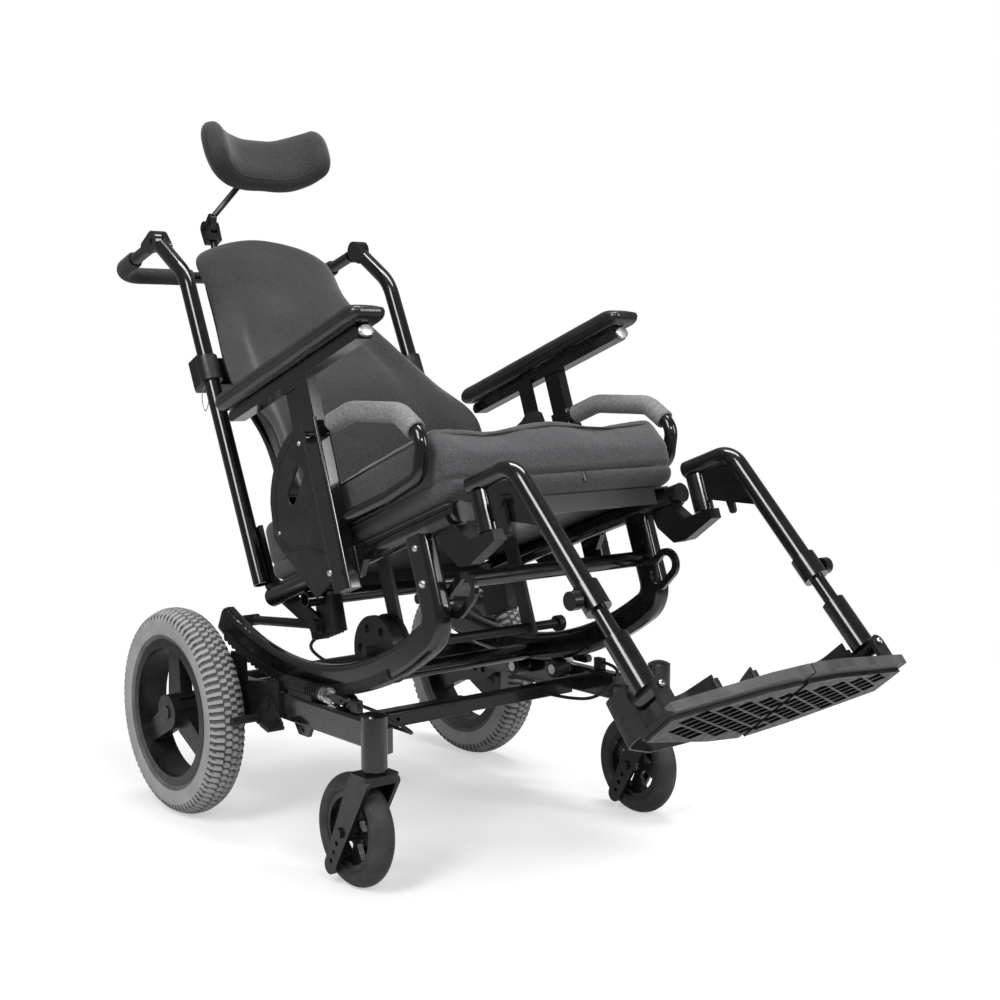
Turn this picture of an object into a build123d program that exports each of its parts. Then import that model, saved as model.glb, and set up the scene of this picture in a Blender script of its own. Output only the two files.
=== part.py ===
"""Tilt in space wheelchair, millimetres, +Z up, facing -Y, user's right is -X.

A base on four wheels carries a seat frame on two curved rockers. The rockers are arcs
about a tilt centre near the sitter, and they roll on four rollers, so the seat tilts.
Side views are drawn forward (local x) and up (local y), in three leaning planes:
the floor's, the seat's and the back's.
"""
from build123d import *
import os
from math import asin, cos, degrees, radians, sin, sqrt, tan

os.makedirs("parts", exist_ok=True)

# ---------------------------------------------------------------- clearances
fit_gap = 0.05  # radial, a shaft in its bore
seat_gap = 0.1  # fixed pieces that seat on one another
move_gap = 0.3  # between pieces that pass one another
soft_gap = 0.3  # round upholstery

# ---------------------------------------------------------------- tubes
tube_wall = 2.0
frame_tube = 25.0
cross_tube = 22.0

# ---------------------------------------------------------------- heights over the floor
tyre_radius = 157.0
caster_radius = 76.0
rail_top = tyre_radius + 60.0
rocker_dip = 2.0  # of the rockers below the tops of the rails

# ---------------------------------------------------------------- tilt geometry
rocker_outer = 540.0
tilt_centre_y = 83.96  # puts the origin under the middle of the object
tilt_centre_z = rail_top - rocker_dip + rocker_outer
tilt_rest = 20.0
frame_x = 195.0  # centre of rockers, seat rails and canes
rocker_depth = 43.0
rocker_rear_angle = -45.7  # from straight down in the seat's frame, front positive
rocker_bend = 35.0
rocker_wall = 3.0
front_tube_s = 167.0

# ---------------------------------------------------------------- base
rail_x = 224.0
rail_width = 22.0
rail_height = 40.0
rail_front = 212.0  # ahead of the tilt centre
rail_rear = 236.0  # behind the tilt centre
front_cross_s = 112.0  # ahead of the tilt centre
front_cross_width = 28.0
front_cross_height = 24.0
front_cross_z = rail_top - 34.0
rear_cross_s = -185.0
rear_cross_diameter = 32.0
rear_cross_z = rail_top - 23.0

# ---------------------------------------------------------------- rear wheels
wheel_x = 278.8
axle_s = -217.0  # behind the tilt centre
tyre_width = 57.0
rim_seat = 106.0
rim_width = 42.0
hub_radius = 27.0
hub_width = 52.0
spoke_count = 3
axle_radius = 6.0
tread_count = 22
plate_thickness = 5.0

# ---------------------------------------------------------------- casters
caster_x = 258.0
caster_s = 267.0
caster_width = 34.0
caster_trail = 43.0
barrel_diameter = 34.0
barrel_bottom = 2 * caster_radius + 13.0
barrel_top = rail_top + 19.0
cap_rise = 5.5
stem_radius = 7.0
fork_leg = 6.0
fork_side_gap = 3.0
crown_thickness = 12.0
spare_hole_pitch = 15.0
spare_hole_count = 4
caster_spokes = 5

# ---------------------------------------------------------------- tilt rollers and locks
roller_radius = 14.0
roller_width = 22.0
roller_angles = {"rear": 1.5, "front": 11.5}  # ahead of straight down
roller_pin_radius = 5.0
rack_thickness = 2.8  # out from the rocker's side, and as far into its wall
rack_depth = 15.0
rack_inset = 2.0  # of the tooth tips inside the rocker's outer edge
rack_angles = (-43.0, 6.0)  # from straight down in the seat's frame, front positive
tooth_depth = 5.0
tooth_pitch = 12.0
lock_radius = 11.0
lock_length = 105.0
lock_front_s = 97.0
plunger_radius = 4.0

# ---------------------------------------------------------------- seat
seat_rail_diameter = 28.0
seat_rail_h = -362.0
seat_rail_front = 262.0
seat_rail_rear = -222.0
pan_front = 236.0
pan_rear = -190.0
pan_half_width = 198.0
pan_wall = 2.5
cushion_half_width = 205.0
cushion_rear = -205.0
cushion_front = 258.0
cushion_top = -250.0
shaft_s = -35.0
shaft_lift = 11.7  # of the release shaft's axis inside the rockers' inner edge
shaft_radius = 7.0
drum_radius = 49.0
drum_width = 30.0
drum_x = 150.0
hanger_plate_x = 118.0

# ---------------------------------------------------------------- back
pivot_s = -143.0
pivot_h = -423.0
pivot_radius = 6.0
back_angle = 95.3  # between seat and back
cane_foot_s = -247.0
cane_foot_h = -337.0
cane_straight = 515.0  # up the cane, from its foot to the bend
cane_bend_back = 33.0  # degrees that the top leans further back
cane_top_run = 110.0
shell_thickness = 4.0
shell_gap = 4.8
handle_reach = 166.0
handle_tube = 20.0
grip_diameter = 28.0
knuckle_radius = 17.0

# ---------------------------------------------------------------- armrests
arm_x = 228.0
receiver_s = 28.0
receiver_depth = 40.0
receiver_width = 24.0
receiver_wall = 4.0
receiver_top = -168.0
receiver_bottom = -406.0
arm_rail_h = -98.0
arm_pad_top = -62.0
arm_pad_width = 60.0
arm_pad_front = 211.0
arm_pad_rear = -185.0
guard_thickness = 3.0
guard_x = 211.0

# ---------------------------------------------------------------- hangers and footrests
swing_s = 300.0
swing_pin_radius = 6.0
hanger_top_h = -337.0
hanger_angle = 65.5
hanger_corner_s = 371.0
hanger_length = 215.0  # down the leg, from the corner
hanger_bend = 68.0
extension_tube = 19.0
sleeve_diameter = 30.0
footplate_slope = 20.0  # against the seat
footplate_reach = 330.0  # down the leg, from the corner to the plate's hinge
hinge_height = 31.0  # of the flip hinge above the plate
footplate_thickness = 8.0
diamond_width = 17.0  # half a diamond, across the chair
diamond_length = 20.0
ear_thickness = 6.0
hinge_barrel = 33.0
hinge_pin_radius = 4.0


def leaning(x, y, z, lean):
    """Side plane at x through (y, z): local x forward, local y up, leaning back."""
    a = radians(lean)
    return Plane(origin=(x, y, z), x_dir=(0, -cos(a), sin(a)), z_dir=(-1, 0, 0))


def base_side(x):
    return leaning(x, tilt_centre_y, 0, 0)


def seat_side(x):
    return leaning(x, tilt_centre_y, tilt_centre_z, tilt_rest)


back_lean = tilt_rest + back_angle - 90
cane_foot = seat_side(0).from_local_coords((cane_foot_s, cane_foot_h, 0))


def back_side(x):
    return leaning(x, cane_foot.Y, cane_foot.Z, back_lean)


def level(side, s, h, turn=0):
    """Plane through (s, h) of a side plane: local x is +X, local y runs rearward."""
    here = side(0)
    origin = here.from_local_coords((s, h, 0))
    up = here.y_dir.rotate(Axis((0, 0, 0), (1, 0, 0)), turn)
    return Plane(origin=origin, x_dir=(1, 0, 0), z_dir=up)


def facing(side, s, h):
    """Plane through (s, h) of a side plane that faces forward: local x is +X, local y up."""
    here = side(0)
    return Plane(origin=here.from_local_coords((s, h, 0)), x_dir=(1, 0, 0), z_dir=here.x_dir)


def bent_tube(plane, points, bends, diameter, wall=0.0):
    """A round tube, hollow where it has a wall, along a route of straight runs and arcs."""
    with BuildPart() as tube:
        with BuildLine(plane) as route:
            FilletPolyline(*points, radius=bends)
        with BuildSketch(Plane(origin=route.line @ 0, z_dir=route.line % 0)):
            Circle(diameter / 2)
            if wall:
                Circle(diameter / 2 - wall, mode=Mode.SUBTRACT)
        sweep(path=route.line)
    return tube.part


def straight_tube(start, end, diameter, wall=0.0):
    with BuildPart() as tube:
        along = Vector(*end) - Vector(*start)
        with BuildSketch(Plane(origin=start, z_dir=along)):
            Circle(diameter / 2)
            if wall:
                Circle(diameter / 2 - wall, mode=Mode.SUBTRACT)
        extrude(amount=along.length)
    return tube.part


def point(side, x, s, h):
    return side(x).from_local_coords((s, h, 0))


def keep(name, builder):
    """Label a finished piece and write it."""
    builder.part.label = name
    export_step(builder.part, f"parts/{name}.step")


def keep_pair(stem, builder):
    """Write the right-hand piece and its mirror image on the left."""
    keep(f"{stem}_right", builder)
    with BuildPart() as left:
        mirror(builder.part, about=Plane.YZ)
    keep(f"{stem}_left", left)


# ================================================================ base frame
rail_mid = rail_top - rail_height / 2
rail_inner = rail_x - rail_width / 2
rail_outer = rail_x + rail_width / 2

with BuildPart() as base_side_rails:
    # rectangular rail
    with BuildSketch(Plane(origin=point(base_side, -rail_x, rail_front, rail_mid), x_dir=(1, 0, 0),
                           z_dir=(0, 1, 0))):
        RectangleRounded(rail_width, rail_height, radius=5)
        offset(amount=-tube_wall, mode=Mode.SUBTRACT)
    extrude(amount=rail_front + rail_rear)
    # cast arm that carries the caster barrel
    with BuildSketch(Plane.XY.offset(rail_top - rail_height + 3)):
        with BuildLine():
            y_rail = tilt_centre_y - rail_front + 4
            y_barrel = tilt_centre_y - caster_s
            Polyline((-rail_inner - 1, y_rail), (-rail_outer + 1, y_rail), (-caster_x - 6, y_barrel + 8),
                     (-caster_x, y_barrel - 4), (-rail_inner - 10, y_barrel + 8), close=True)
        make_face()
    extrude(amount=rail_height - 6)
    # caster barrel with a domed cap
    with BuildSketch(Plane.XZ.offset(-(tilt_centre_y - caster_s))):
        with BuildLine():
            x_in = -caster_x + barrel_diameter / 2
            Polyline((-caster_x, barrel_bottom), (x_in, barrel_bottom), (x_in, barrel_top))
            # the cap is part of a sphere, so the arc's centre is on the axis
            half = barrel_diameter / 2
            sphere = (half ** 2 + cap_rise ** 2) / (2 * cap_rise)
            cap_mid = barrel_top + cap_rise - sphere + sqrt(sphere ** 2 - half ** 2 / 4)
            ThreePointArc((x_in, barrel_top), (-caster_x + half / 2, cap_mid),
                          (-caster_x, barrel_top + cap_rise))
            Line((-caster_x, barrel_top + cap_rise), (-caster_x, barrel_bottom))
        make_face()
    revolve(axis=Axis((-caster_x, tilt_centre_y - caster_s, 0), (0, 0, 1)))
    # bore for the caster stem
    with BuildSketch(Plane(origin=(-caster_x, tilt_centre_y - caster_s, barrel_bottom))):
        Circle(stem_radius + fit_gap)
    extrude(amount=62, mode=Mode.SUBTRACT)
    # tie-down tab under the rail
    with BuildSketch(base_side(-rail_x)):
        with BuildLine():
            tab_top, tab_bottom = rail_top - rail_height + 1, rail_top - 56
            Polyline((20, tab_top), (68, tab_top), (58, tab_bottom), (34, tab_bottom), close=True)
        make_face()
        with Locations((46, tab_bottom + 8)):
            Circle(3.2, mode=Mode.SUBTRACT)
    extrude(amount=3, both=True)
    mirror(about=Plane.YZ)
keep("base_side_rails", base_side_rails)

cross_join_x = 10.0
with BuildPart() as base_cross_tubes:
    front = point(base_side, 0, front_cross_s, front_cross_z)
    slim_width = front_cross_width - 2 * tube_wall - 2 * seat_gap
    slim_height = front_cross_height - 2 * tube_wall - 2 * seat_gap
    # outer half, closed round the end of the inner half
    with BuildSketch(Plane(origin=(-rail_inner + seat_gap, front.Y, front.Z), x_dir=(0, 1, 0),
                           z_dir=(1, 0, 0))):
        RectangleRounded(front_cross_width, front_cross_height, radius=5)
        offset(amount=-tube_wall, mode=Mode.SUBTRACT)
    extrude(amount=rail_inner + cross_join_x)
    with Locations((-120, front.Y, front.Z)):
        Cylinder(3, front_cross_width + 4, rotation=(90, 0, 0), mode=Mode.SUBTRACT)
    # inner half, which slides in to set the width
    with BuildSketch(Plane(origin=(cross_join_x - 60, front.Y, front.Z), x_dir=(0, 1, 0),
                           z_dir=(1, 0, 0))):
        RectangleRounded(slim_width, slim_height, radius=3)
        offset(amount=-tube_wall, mode=Mode.SUBTRACT)
    extrude(amount=rail_inner - seat_gap - cross_join_x + 60)
    # rear tube between the axle plates
    add(straight_tube(point(base_side, -rail_inner + seat_gap, rear_cross_s, rear_cross_z),
                      point(base_side, rail_inner - seat_gap, rear_cross_s, rear_cross_z),
                      rear_cross_diameter, tube_wall))
keep("base_cross_tubes", base_cross_tubes)

# axle plates: a row of spare holes in front of the axle sets the wheelbase
plate_x = rail_outer + seat_gap
spare_axle_pitch = 22.0
spare_axle_count = 4
spare_axle_radius = 6.2
spare_axle_first = -192.0
spare_axle_z = tyre_radius + 9.0
with BuildPart() as axle_plates:
    with BuildSketch(base_side(-plate_x)):
        with BuildLine():
            upper = [(2, -33), (2, 17), (-92, 2), (-95, 39), (-134, 39), (-138, 0), (-215, -7)]
            lower = [(-240, 28), (-240, -11), (-205, -23), (-118, -7), (-96, 9)]
            Polyline(*[(s, rail_top + z) for s, z in upper], *[(s, tyre_radius + z) for s, z in lower],
                     close=True)
        make_face()
        with Locations((axle_s, tyre_radius)):
            Circle(axle_radius + fit_gap, mode=Mode.SUBTRACT)
        for k in range(spare_axle_count):
            with Locations((spare_axle_first + k * spare_axle_pitch, spare_axle_z)):
                Circle(spare_axle_radius, mode=Mode.SUBTRACT)
        with Locations((-114, rail_top + 19)):
            SlotOverall(26, 7, rotation=90, mode=Mode.SUBTRACT)
    extrude(amount=plate_thickness)
    mirror(about=Plane.YZ)
keep("axle_plates", axle_plates)
plate_outer = plate_x + plate_thickness

hub_inner = wheel_x - hub_width / 2
hub_outer = wheel_x + hub_width / 2
with BuildPart() as rear_axles:
    axle = point(base_side, 0, axle_s, tyre_radius)
    with BuildSketch(Plane(origin=(0, axle.Y, axle.Z), x_dir=(-1, 0, 0), z_dir=(0, 1, 0))):
        with BuildLine():
            Polyline((plate_x - 14, 0), (plate_x - 14, axle_radius),
                     (plate_outer + seat_gap, axle_radius),
                     (plate_outer + seat_gap, 11), (hub_inner - move_gap, 11),
                     (hub_inner - move_gap, axle_radius),
                     (hub_outer + move_gap, axle_radius), (hub_outer + move_gap, 10),
                     (hub_outer + 2, 10), (hub_outer + 2, 0), close=True)
        make_face()
    revolve(axis=Axis(axle, (1, 0, 0)))
    mirror(about=Plane.YZ)
keep("rear_axles", rear_axles)


# ================================================================ rear wheels
def wheel_plane():
    """Half section of a rear wheel: local x outward along the axle, local y away from it."""
    return Plane(origin=(-wheel_x, axle.Y, axle.Z), x_dir=(-1, 0, 0), z_dir=(0, 1, 0))


half_tyre = tyre_width / 2
with BuildPart() as rear_tyre:
    with BuildSketch(wheel_plane()):
        with BuildLine():
            bead = rim_width / 2 - 0.2
            shoulder = half_tyre - 7
            Polyline((-bead, rim_seat + 6), (-bead, rim_seat), (bead, rim_seat), (bead, rim_seat + 6))
            ThreePointArc((bead, rim_seat + 6), (half_tyre, rim_seat + 26), (shoulder, tyre_radius - 7))
            ThreePointArc((shoulder, tyre_radius - 7), (0, tyre_radius), (-shoulder, tyre_radius - 7))
            ThreePointArc((-shoulder, tyre_radius - 7), (-half_tyre, rim_seat + 26),
                          (-bead, rim_seat + 6))
        make_face()
    revolve(axis=Axis((-wheel_x, axle.Y, axle.Z), (1, 0, 0)))
    # tread grooves across both shoulders, staggered
    for side_sign, stagger in ((1, 0), (-1, 0.5)):
        for k in range(tread_count):
            turn = 360 * (k + stagger) / tread_count
            groove = Plane(origin=(-wheel_x + side_sign * (half_tyre - 7), axle.Y, axle.Z),
                           x_dir=(1, 0, 0), z_dir=(0, cos(radians(turn)), sin(radians(turn))))
            with BuildSketch(groove.offset(tyre_radius - 8)):
                Rectangle(16, 7)
            extrude(amount=12, mode=Mode.SUBTRACT)
keep_pair("rear_tyre", rear_tyre)

with BuildPart() as rear_rim:
    with BuildSketch(wheel_plane()):
        with BuildLine():
            half_rim = rim_width / 2
            well = rim_seat - 8
            Polyline((-half_rim - 3, well), (half_rim + 3, well), (half_rim + 3, rim_seat + 5),
                     (half_rim, rim_seat + 5), (half_rim, rim_seat - 0.2), (-half_rim, rim_seat - 0.2),
                     (-half_rim, rim_seat + 5), (-half_rim - 3, rim_seat + 5), close=True)
        make_face()
        with Locations((0, hub_radius / 2)):
            Rectangle(hub_width, hub_radius)
        with Locations((0, (axle_radius + fit_gap) / 2)):
            Rectangle(hub_width, axle_radius + fit_gap, mode=Mode.SUBTRACT)
    revolve(axis=Axis((-wheel_x, axle.Y, axle.Z), (1, 0, 0)))
    for k in range(spoke_count):
        turn = 90 + 360 * k / spoke_count
        spoke = Plane(origin=(-wheel_x, axle.Y, axle.Z),
                      x_dir=(0, cos(radians(turn)), sin(radians(turn))),
                      z_dir=(-1, 0, 0))
        with BuildSketch(spoke.offset(-8)):
            with BuildLine():
                Polyline((hub_radius - 4, -20), (well + 1, -15), (well + 1, 15), (hub_radius - 4, 20),
                         close=True)
            make_face()
        extrude(amount=20)
keep_pair("rear_rim", rear_rim)

# ================================================================ casters
caster_y = tilt_centre_y - caster_s
leg_inner = caster_width / 2 + fork_side_gap
crown_top = barrel_bottom - 3.0
crown_bottom = crown_top - crown_thickness
axle_caster_y = caster_y + caster_trail
rake = radians(27)

with BuildPart() as caster_fork:
    # stem and its thrust collar
    with Locations((-caster_x, caster_y, crown_top)):
        Cylinder(stem_radius, 60, align=(Align.CENTER, Align.CENTER, Align.MIN))
        Cylinder(13, barrel_bottom - crown_top - move_gap, align=(Align.CENTER, Align.CENTER, Align.MIN))
    # crown
    with BuildSketch(Plane(origin=(-caster_x, caster_y, crown_bottom))):
        with Locations((0, -1)):
            RectangleRounded(2 * (leg_inner + fork_leg), 44, radius=9)
    extrude(amount=crown_thickness)
    # raked legs with spare axle holes
    for x in (-caster_x - leg_inner, -caster_x + leg_inner + fork_leg):
        with BuildSketch(base_side(x)):
            with Locations((caster_s + 16, crown_bottom + 2), (caster_s - 17, crown_bottom + 2)):
                Circle(5)
            tip = caster_radius - spare_hole_pitch * (spare_hole_count - 1) * cos(rake) - 10
            with Locations((caster_s - caster_trail - (caster_radius - tip) * tan(rake), tip)):
                Circle(12)
            make_hull()
            with Locations((caster_s - caster_trail, caster_radius)):
                Circle(4 + fit_gap, mode=Mode.SUBTRACT)
            for k in range(1, spare_hole_count):
                drop = 3 + k * spare_hole_pitch
                with Locations((caster_s - caster_trail - drop * sin(rake),
                                caster_radius - drop * cos(rake))):
                    Circle(3.3, mode=Mode.SUBTRACT)
        extrude(amount=fork_leg)
    # axle bolt with its head and nut
    bolt_reach = leg_inner + fork_leg
    with Locations((-caster_x, axle_caster_y, caster_radius)):
        Cylinder(4, 2 * bolt_reach + 2 * seat_gap, rotation=(0, 90, 0))
    for x in (-caster_x - bolt_reach - seat_gap - 2, -caster_x + bolt_reach + seat_gap + 2):
        with Locations((x, axle_caster_y, caster_radius)):
            Cylinder(7, 4, rotation=(0, 90, 0))
keep_pair("caster_fork", caster_fork)

caster_centre = (-caster_x, axle_caster_y, caster_radius)
caster_rim = 52.0
with BuildPart() as caster_wheel:
    section = Plane(origin=caster_centre, x_dir=(-1, 0, 0), z_dir=(0, 1, 0))
    half_caster = caster_width / 2
    # tyre
    with BuildSketch(section):
        with BuildLine():
            Line((-12, caster_rim + seat_gap), (12, caster_rim + seat_gap))
            ThreePointArc((12, caster_rim + seat_gap), (half_caster, caster_rim + 8),
                          (half_caster - 4, caster_radius - 7))
            ThreePointArc((half_caster - 4, caster_radius - 7), (0, caster_radius),
                          (4 - half_caster, caster_radius - 7))
            ThreePointArc((4 - half_caster, caster_radius - 7), (-half_caster, caster_rim + 8),
                          (-12, caster_rim + seat_gap))
        make_face()
    revolve(axis=Axis(caster_centre, (1, 0, 0)))
    # rim, hub and web
    with BuildSketch(section):
        with Locations((0, caster_rim - 3.5)):
            Rectangle(24, 7)
        with Locations((0, 29)):
            Rectangle(8, 2 * (caster_rim - 32))
        with Locations((0, 6.5)):
            Rectangle(caster_width, 13)
        with Locations((0, 2)):
            Rectangle(caster_width, 4 + 2 * fit_gap, mode=Mode.SUBTRACT)
    revolve(axis=Axis(caster_centre, (1, 0, 0)))
    # windows between the spokes
    window = Plane(origin=caster_centre, x_dir=(0, 1, 0), z_dir=(1, 0, 0))
    with BuildSketch(window.offset(-6)):
        with PolarLocations(30, caster_spokes, start_angle=10):
            Polygon((-12, -7), (-12, 7), (11, 14), (11, -14), align=None)
    extrude(amount=12, mode=Mode.SUBTRACT)
keep_pair("caster_wheel", caster_wheel)

# ================================================================ tilt rollers
roller_orbit = rocker_outer + move_gap + roller_radius
for place, angle in roller_angles.items():
    a = radians(angle)
    axis_at = (tilt_centre_y - roller_orbit * sin(a), tilt_centre_z - roller_orbit * cos(a))
    with BuildPart() as rollers:
        with Locations((-frame_x, *axis_at), (frame_x, *axis_at)):
            Cylinder(roller_radius, roller_width, rotation=(0, 90, 0))
            Cylinder(roller_pin_radius + fit_gap, roller_width, rotation=(0, 90, 0), mode=Mode.SUBTRACT)
    keep(f"{place}_rollers", rollers)

with BuildPart() as roller_pins:
    for angle in roller_angles.values():
        a = radians(angle)
        y = tilt_centre_y - roller_orbit * sin(a)
        z = tilt_centre_z - roller_orbit * cos(a)
        inner_end = frame_x - roller_width / 2 - 3
        add(straight_tube((-rail_inner + seat_gap, y, z), (-inner_end, y, z), 2 * roller_pin_radius))
        add(straight_tube((-rail_inner + seat_gap, y, z), (-frame_x - roller_width / 2 - 1, y, z), 17))
        add(straight_tube((-frame_x + roller_width / 2 + move_gap, y, z), (-inner_end, y, z), 15))
    mirror(about=Plane.YZ)
keep("roller_pins", roller_pins)

# ================================================================ tilt locks, on the rails
lock_z = rail_top + lock_radius + 1
lock_rear_s = lock_front_s - lock_length
lock_x = rail_x - 1
with BuildPart() as tilt_lock_housings:
    rib = 3.0
    with BuildSketch(Plane(origin=(-lock_x, tilt_centre_y, lock_z), x_dir=(0, -1, 0), z_dir=(1, 0, 0))):
        with BuildLine():
            outline = [(lock_rear_s, 0), (lock_rear_s, -9), (lock_rear_s + 4, -lock_radius),
                       (lock_front_s - 36, -lock_radius)]
            for k in range(5):
                start = lock_front_s - 36 + 2 * rib * k
                outline += [(start, -lock_radius + 2), (start + rib, -lock_radius + 2),
                            (start + rib, -lock_radius), (start + 2 * rib, -lock_radius)]
            outline += [(lock_front_s, -lock_radius), (lock_front_s, 0)]
            Polyline(*outline, close=True)
        make_face()
    revolve(axis=Axis((-lock_x, tilt_centre_y, lock_z), (0, 1, 0)))
    # saddle on the rail
    with BuildSketch(Plane(origin=point(base_side, -rail_x, (lock_rear_s + lock_front_s) / 2 + 4,
                                        rail_top + seat_gap))):
        Rectangle(rail_width - 1, lock_length - 44)
    extrude(amount=8)
    # two rings at the front
    for k in range(2):
        start = lock_front_s - 0.5 + 7 * k
        add(straight_tube(point(base_side, -lock_x, start, lock_z),
                          point(base_side, -lock_x, start + 5, lock_z),
                          2 * lock_radius + 1))
    add(straight_tube(point(base_side, -lock_x, lock_front_s - 1, lock_z),
                      point(base_side, -lock_x, lock_front_s + 11, lock_z), 2 * plunger_radius + 6))
    # bore for the plunger
    with BuildSketch(Plane(origin=point(base_side, -lock_x, lock_front_s + 20, lock_z), x_dir=(1, 0, 0),
                           z_dir=(0, 1, 0))):
        Circle(plunger_radius + fit_gap)
    extrude(amount=80, mode=Mode.SUBTRACT)
    mirror(about=Plane.YZ)
keep("tilt_lock_housings", tilt_lock_housings)

with BuildPart() as tilt_lock_plungers:
    tip_s = lock_front_s + 38
    add(straight_tube(point(base_side, -lock_x, lock_front_s - 34, lock_z),
                      point(base_side, -lock_x, tip_s - 8, lock_z), 2 * plunger_radius))
    # clevis for the cable and its lever
    with BuildSketch(base_side(-lock_x)):
        with Locations((tip_s, lock_z)):
            SlotOverall(34, 12)
            with Locations((10, 0)):
                Circle(2.5, mode=Mode.SUBTRACT)
    extrude(amount=5, both=True)
    mirror(about=Plane.YZ)
keep("tilt_lock_plungers", tilt_lock_plungers)

# ================================================================ wheel locks
lock_pivot_s = -22.0
lock_pivot_z = rail_top - 21.0
brake_pin_radius = 6.0
shoe_z = tyre_radius + 15.0
shoe_gap = 5.0
pedal_s = 8.0
with BuildPart() as wheel_lock:
    bar_s = axle_s + sqrt((tyre_radius + brake_pin_radius + shoe_gap) ** 2 - (shoe_z - tyre_radius) ** 2)
    with BuildSketch(base_side(-plate_outer - move_gap)):
        with Locations((lock_pivot_s, lock_pivot_z)):
            Circle(11)
        with Locations((bar_s, shoe_z)):
            Circle(10)
        with Locations((pedal_s, shoe_z)):
            Circle(7)
        make_hull()
    extrude(amount=4)
    lever_outer = plate_outer + move_gap + 4
    # bar that presses on the tyre
    add(straight_tube(point(base_side, -lever_outer + 2, bar_s, shoe_z),
                      point(base_side, -wheel_x - 8, bar_s, shoe_z), 2 * brake_pin_radius))
    # foot pedal
    with BuildSketch(base_side(-lever_outer + 2)):
        with Locations((pedal_s, shoe_z)):
            RectangleRounded(26, 6, radius=2.5, rotation=-14)
    extrude(amount=26)
    # pivot bolt head
    add(straight_tube(point(base_side, -lever_outer + 1, lock_pivot_s, lock_pivot_z),
                      point(base_side, -lever_outer - 3, lock_pivot_s, lock_pivot_z), 13))
keep_pair("wheel_lock", wheel_lock)

# ================================================================ seat frame
rocker_mid = rocker_outer - rocker_depth / 2
rocker_inner = rocker_outer - rocker_depth
front_angle = degrees(asin((front_tube_s - rocker_bend) / (rocker_mid - rocker_bend)))
bend_end_h = -(rocker_mid - rocker_bend) * cos(radians(front_angle))
shaft_h = -sqrt((rocker_inner - shaft_lift) ** 2 - shaft_s ** 2)

rack_tip = rocker_outer - rack_inset
rocker_side = frame_x + frame_tube / 2


def on_arc(radius, angle):
    """A point of the seat's side view, at an angle in degrees from straight down."""
    return (radius * sin(radians(angle)), -radius * cos(radians(angle)))


with BuildPart() as rockers:
    with BuildLine(seat_side(-frame_x)) as rocker_route:
        CenterArc((0, 0), rocker_mid, 270 + rocker_rear_angle, front_angle - rocker_rear_angle)
        CenterArc((front_tube_s - rocker_bend, bend_end_h), rocker_bend, 270 + front_angle,
                  90 - front_angle)
        Line((front_tube_s, bend_end_h), (front_tube_s, seat_rail_h))
    with BuildSketch(Plane(origin=rocker_route.line @ 0, x_dir=(1, 0, 0), z_dir=rocker_route.line % 0)):
        RectangleRounded(frame_tube, rocker_depth, radius=9)
        RectangleRounded(frame_tube - 2 * rocker_wall, rocker_depth - 2 * rocker_wall, radius=6,
                         mode=Mode.SUBTRACT)
    sweep(path=rocker_route.line)
    # the front tube's top is cut to the round seat rail
    with BuildSketch(facing(seat_side, 300, seat_rail_h)):
        with Locations((-frame_x, 0)):
            Circle(seat_rail_diameter / 2 + seat_gap)
            with Locations((0, 20)):
                Rectangle(40, 40)
    extrude(amount=-260, mode=Mode.SUBTRACT)
    # toothed strip along the rocker's outer face
    rack_start, rack_end = rack_angles
    pitch_angle = degrees(tooth_pitch / rack_tip)
    tooth_total = int((rack_end - rack_start) / pitch_angle)
    with BuildSketch(seat_side(-rocker_side)):
        with BuildLine():
            teeth = []
            for k in range(tooth_total):
                root = rack_start + k * pitch_angle
                teeth += [on_arc(rack_tip - tooth_depth, root),
                          on_arc(rack_tip, root + 0.3 * pitch_angle),
                          on_arc(rack_tip, root + 0.7 * pitch_angle)]
            rack_last = rack_start + tooth_total * pitch_angle
            teeth.append(on_arc(rack_tip - tooth_depth, rack_last))
            Polyline(*teeth)
            Line(teeth[-1], on_arc(rack_tip - rack_depth, rack_last))
            ThreePointArc(on_arc(rack_tip - rack_depth, rack_last),
                          on_arc(rack_tip - rack_depth, (rack_start + rack_last) / 2),
                          on_arc(rack_tip - rack_depth, rack_start))
            Line(on_arc(rack_tip - rack_depth, rack_start), teeth[0])
        make_face()
    extrude(amount=rack_thickness, both=True)
    mirror(about=Plane.YZ)
keep("rockers", rockers)

# ================================================================ rest of the seat frame
with BuildPart() as seat_rails:
    add(straight_tube(point(seat_side, -frame_x, seat_rail_rear, seat_rail_h),
                      point(seat_side, -frame_x, seat_rail_front, seat_rail_h), seat_rail_diameter,
                      tube_wall))
    # end cap
    add(straight_tube(point(seat_side, -frame_x, seat_rail_front - 8, seat_rail_h),
                      point(seat_side, -frame_x, seat_rail_front, seat_rail_h), seat_rail_diameter))
    mirror(about=Plane.YZ)
keep("seat_rails", seat_rails)

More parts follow.
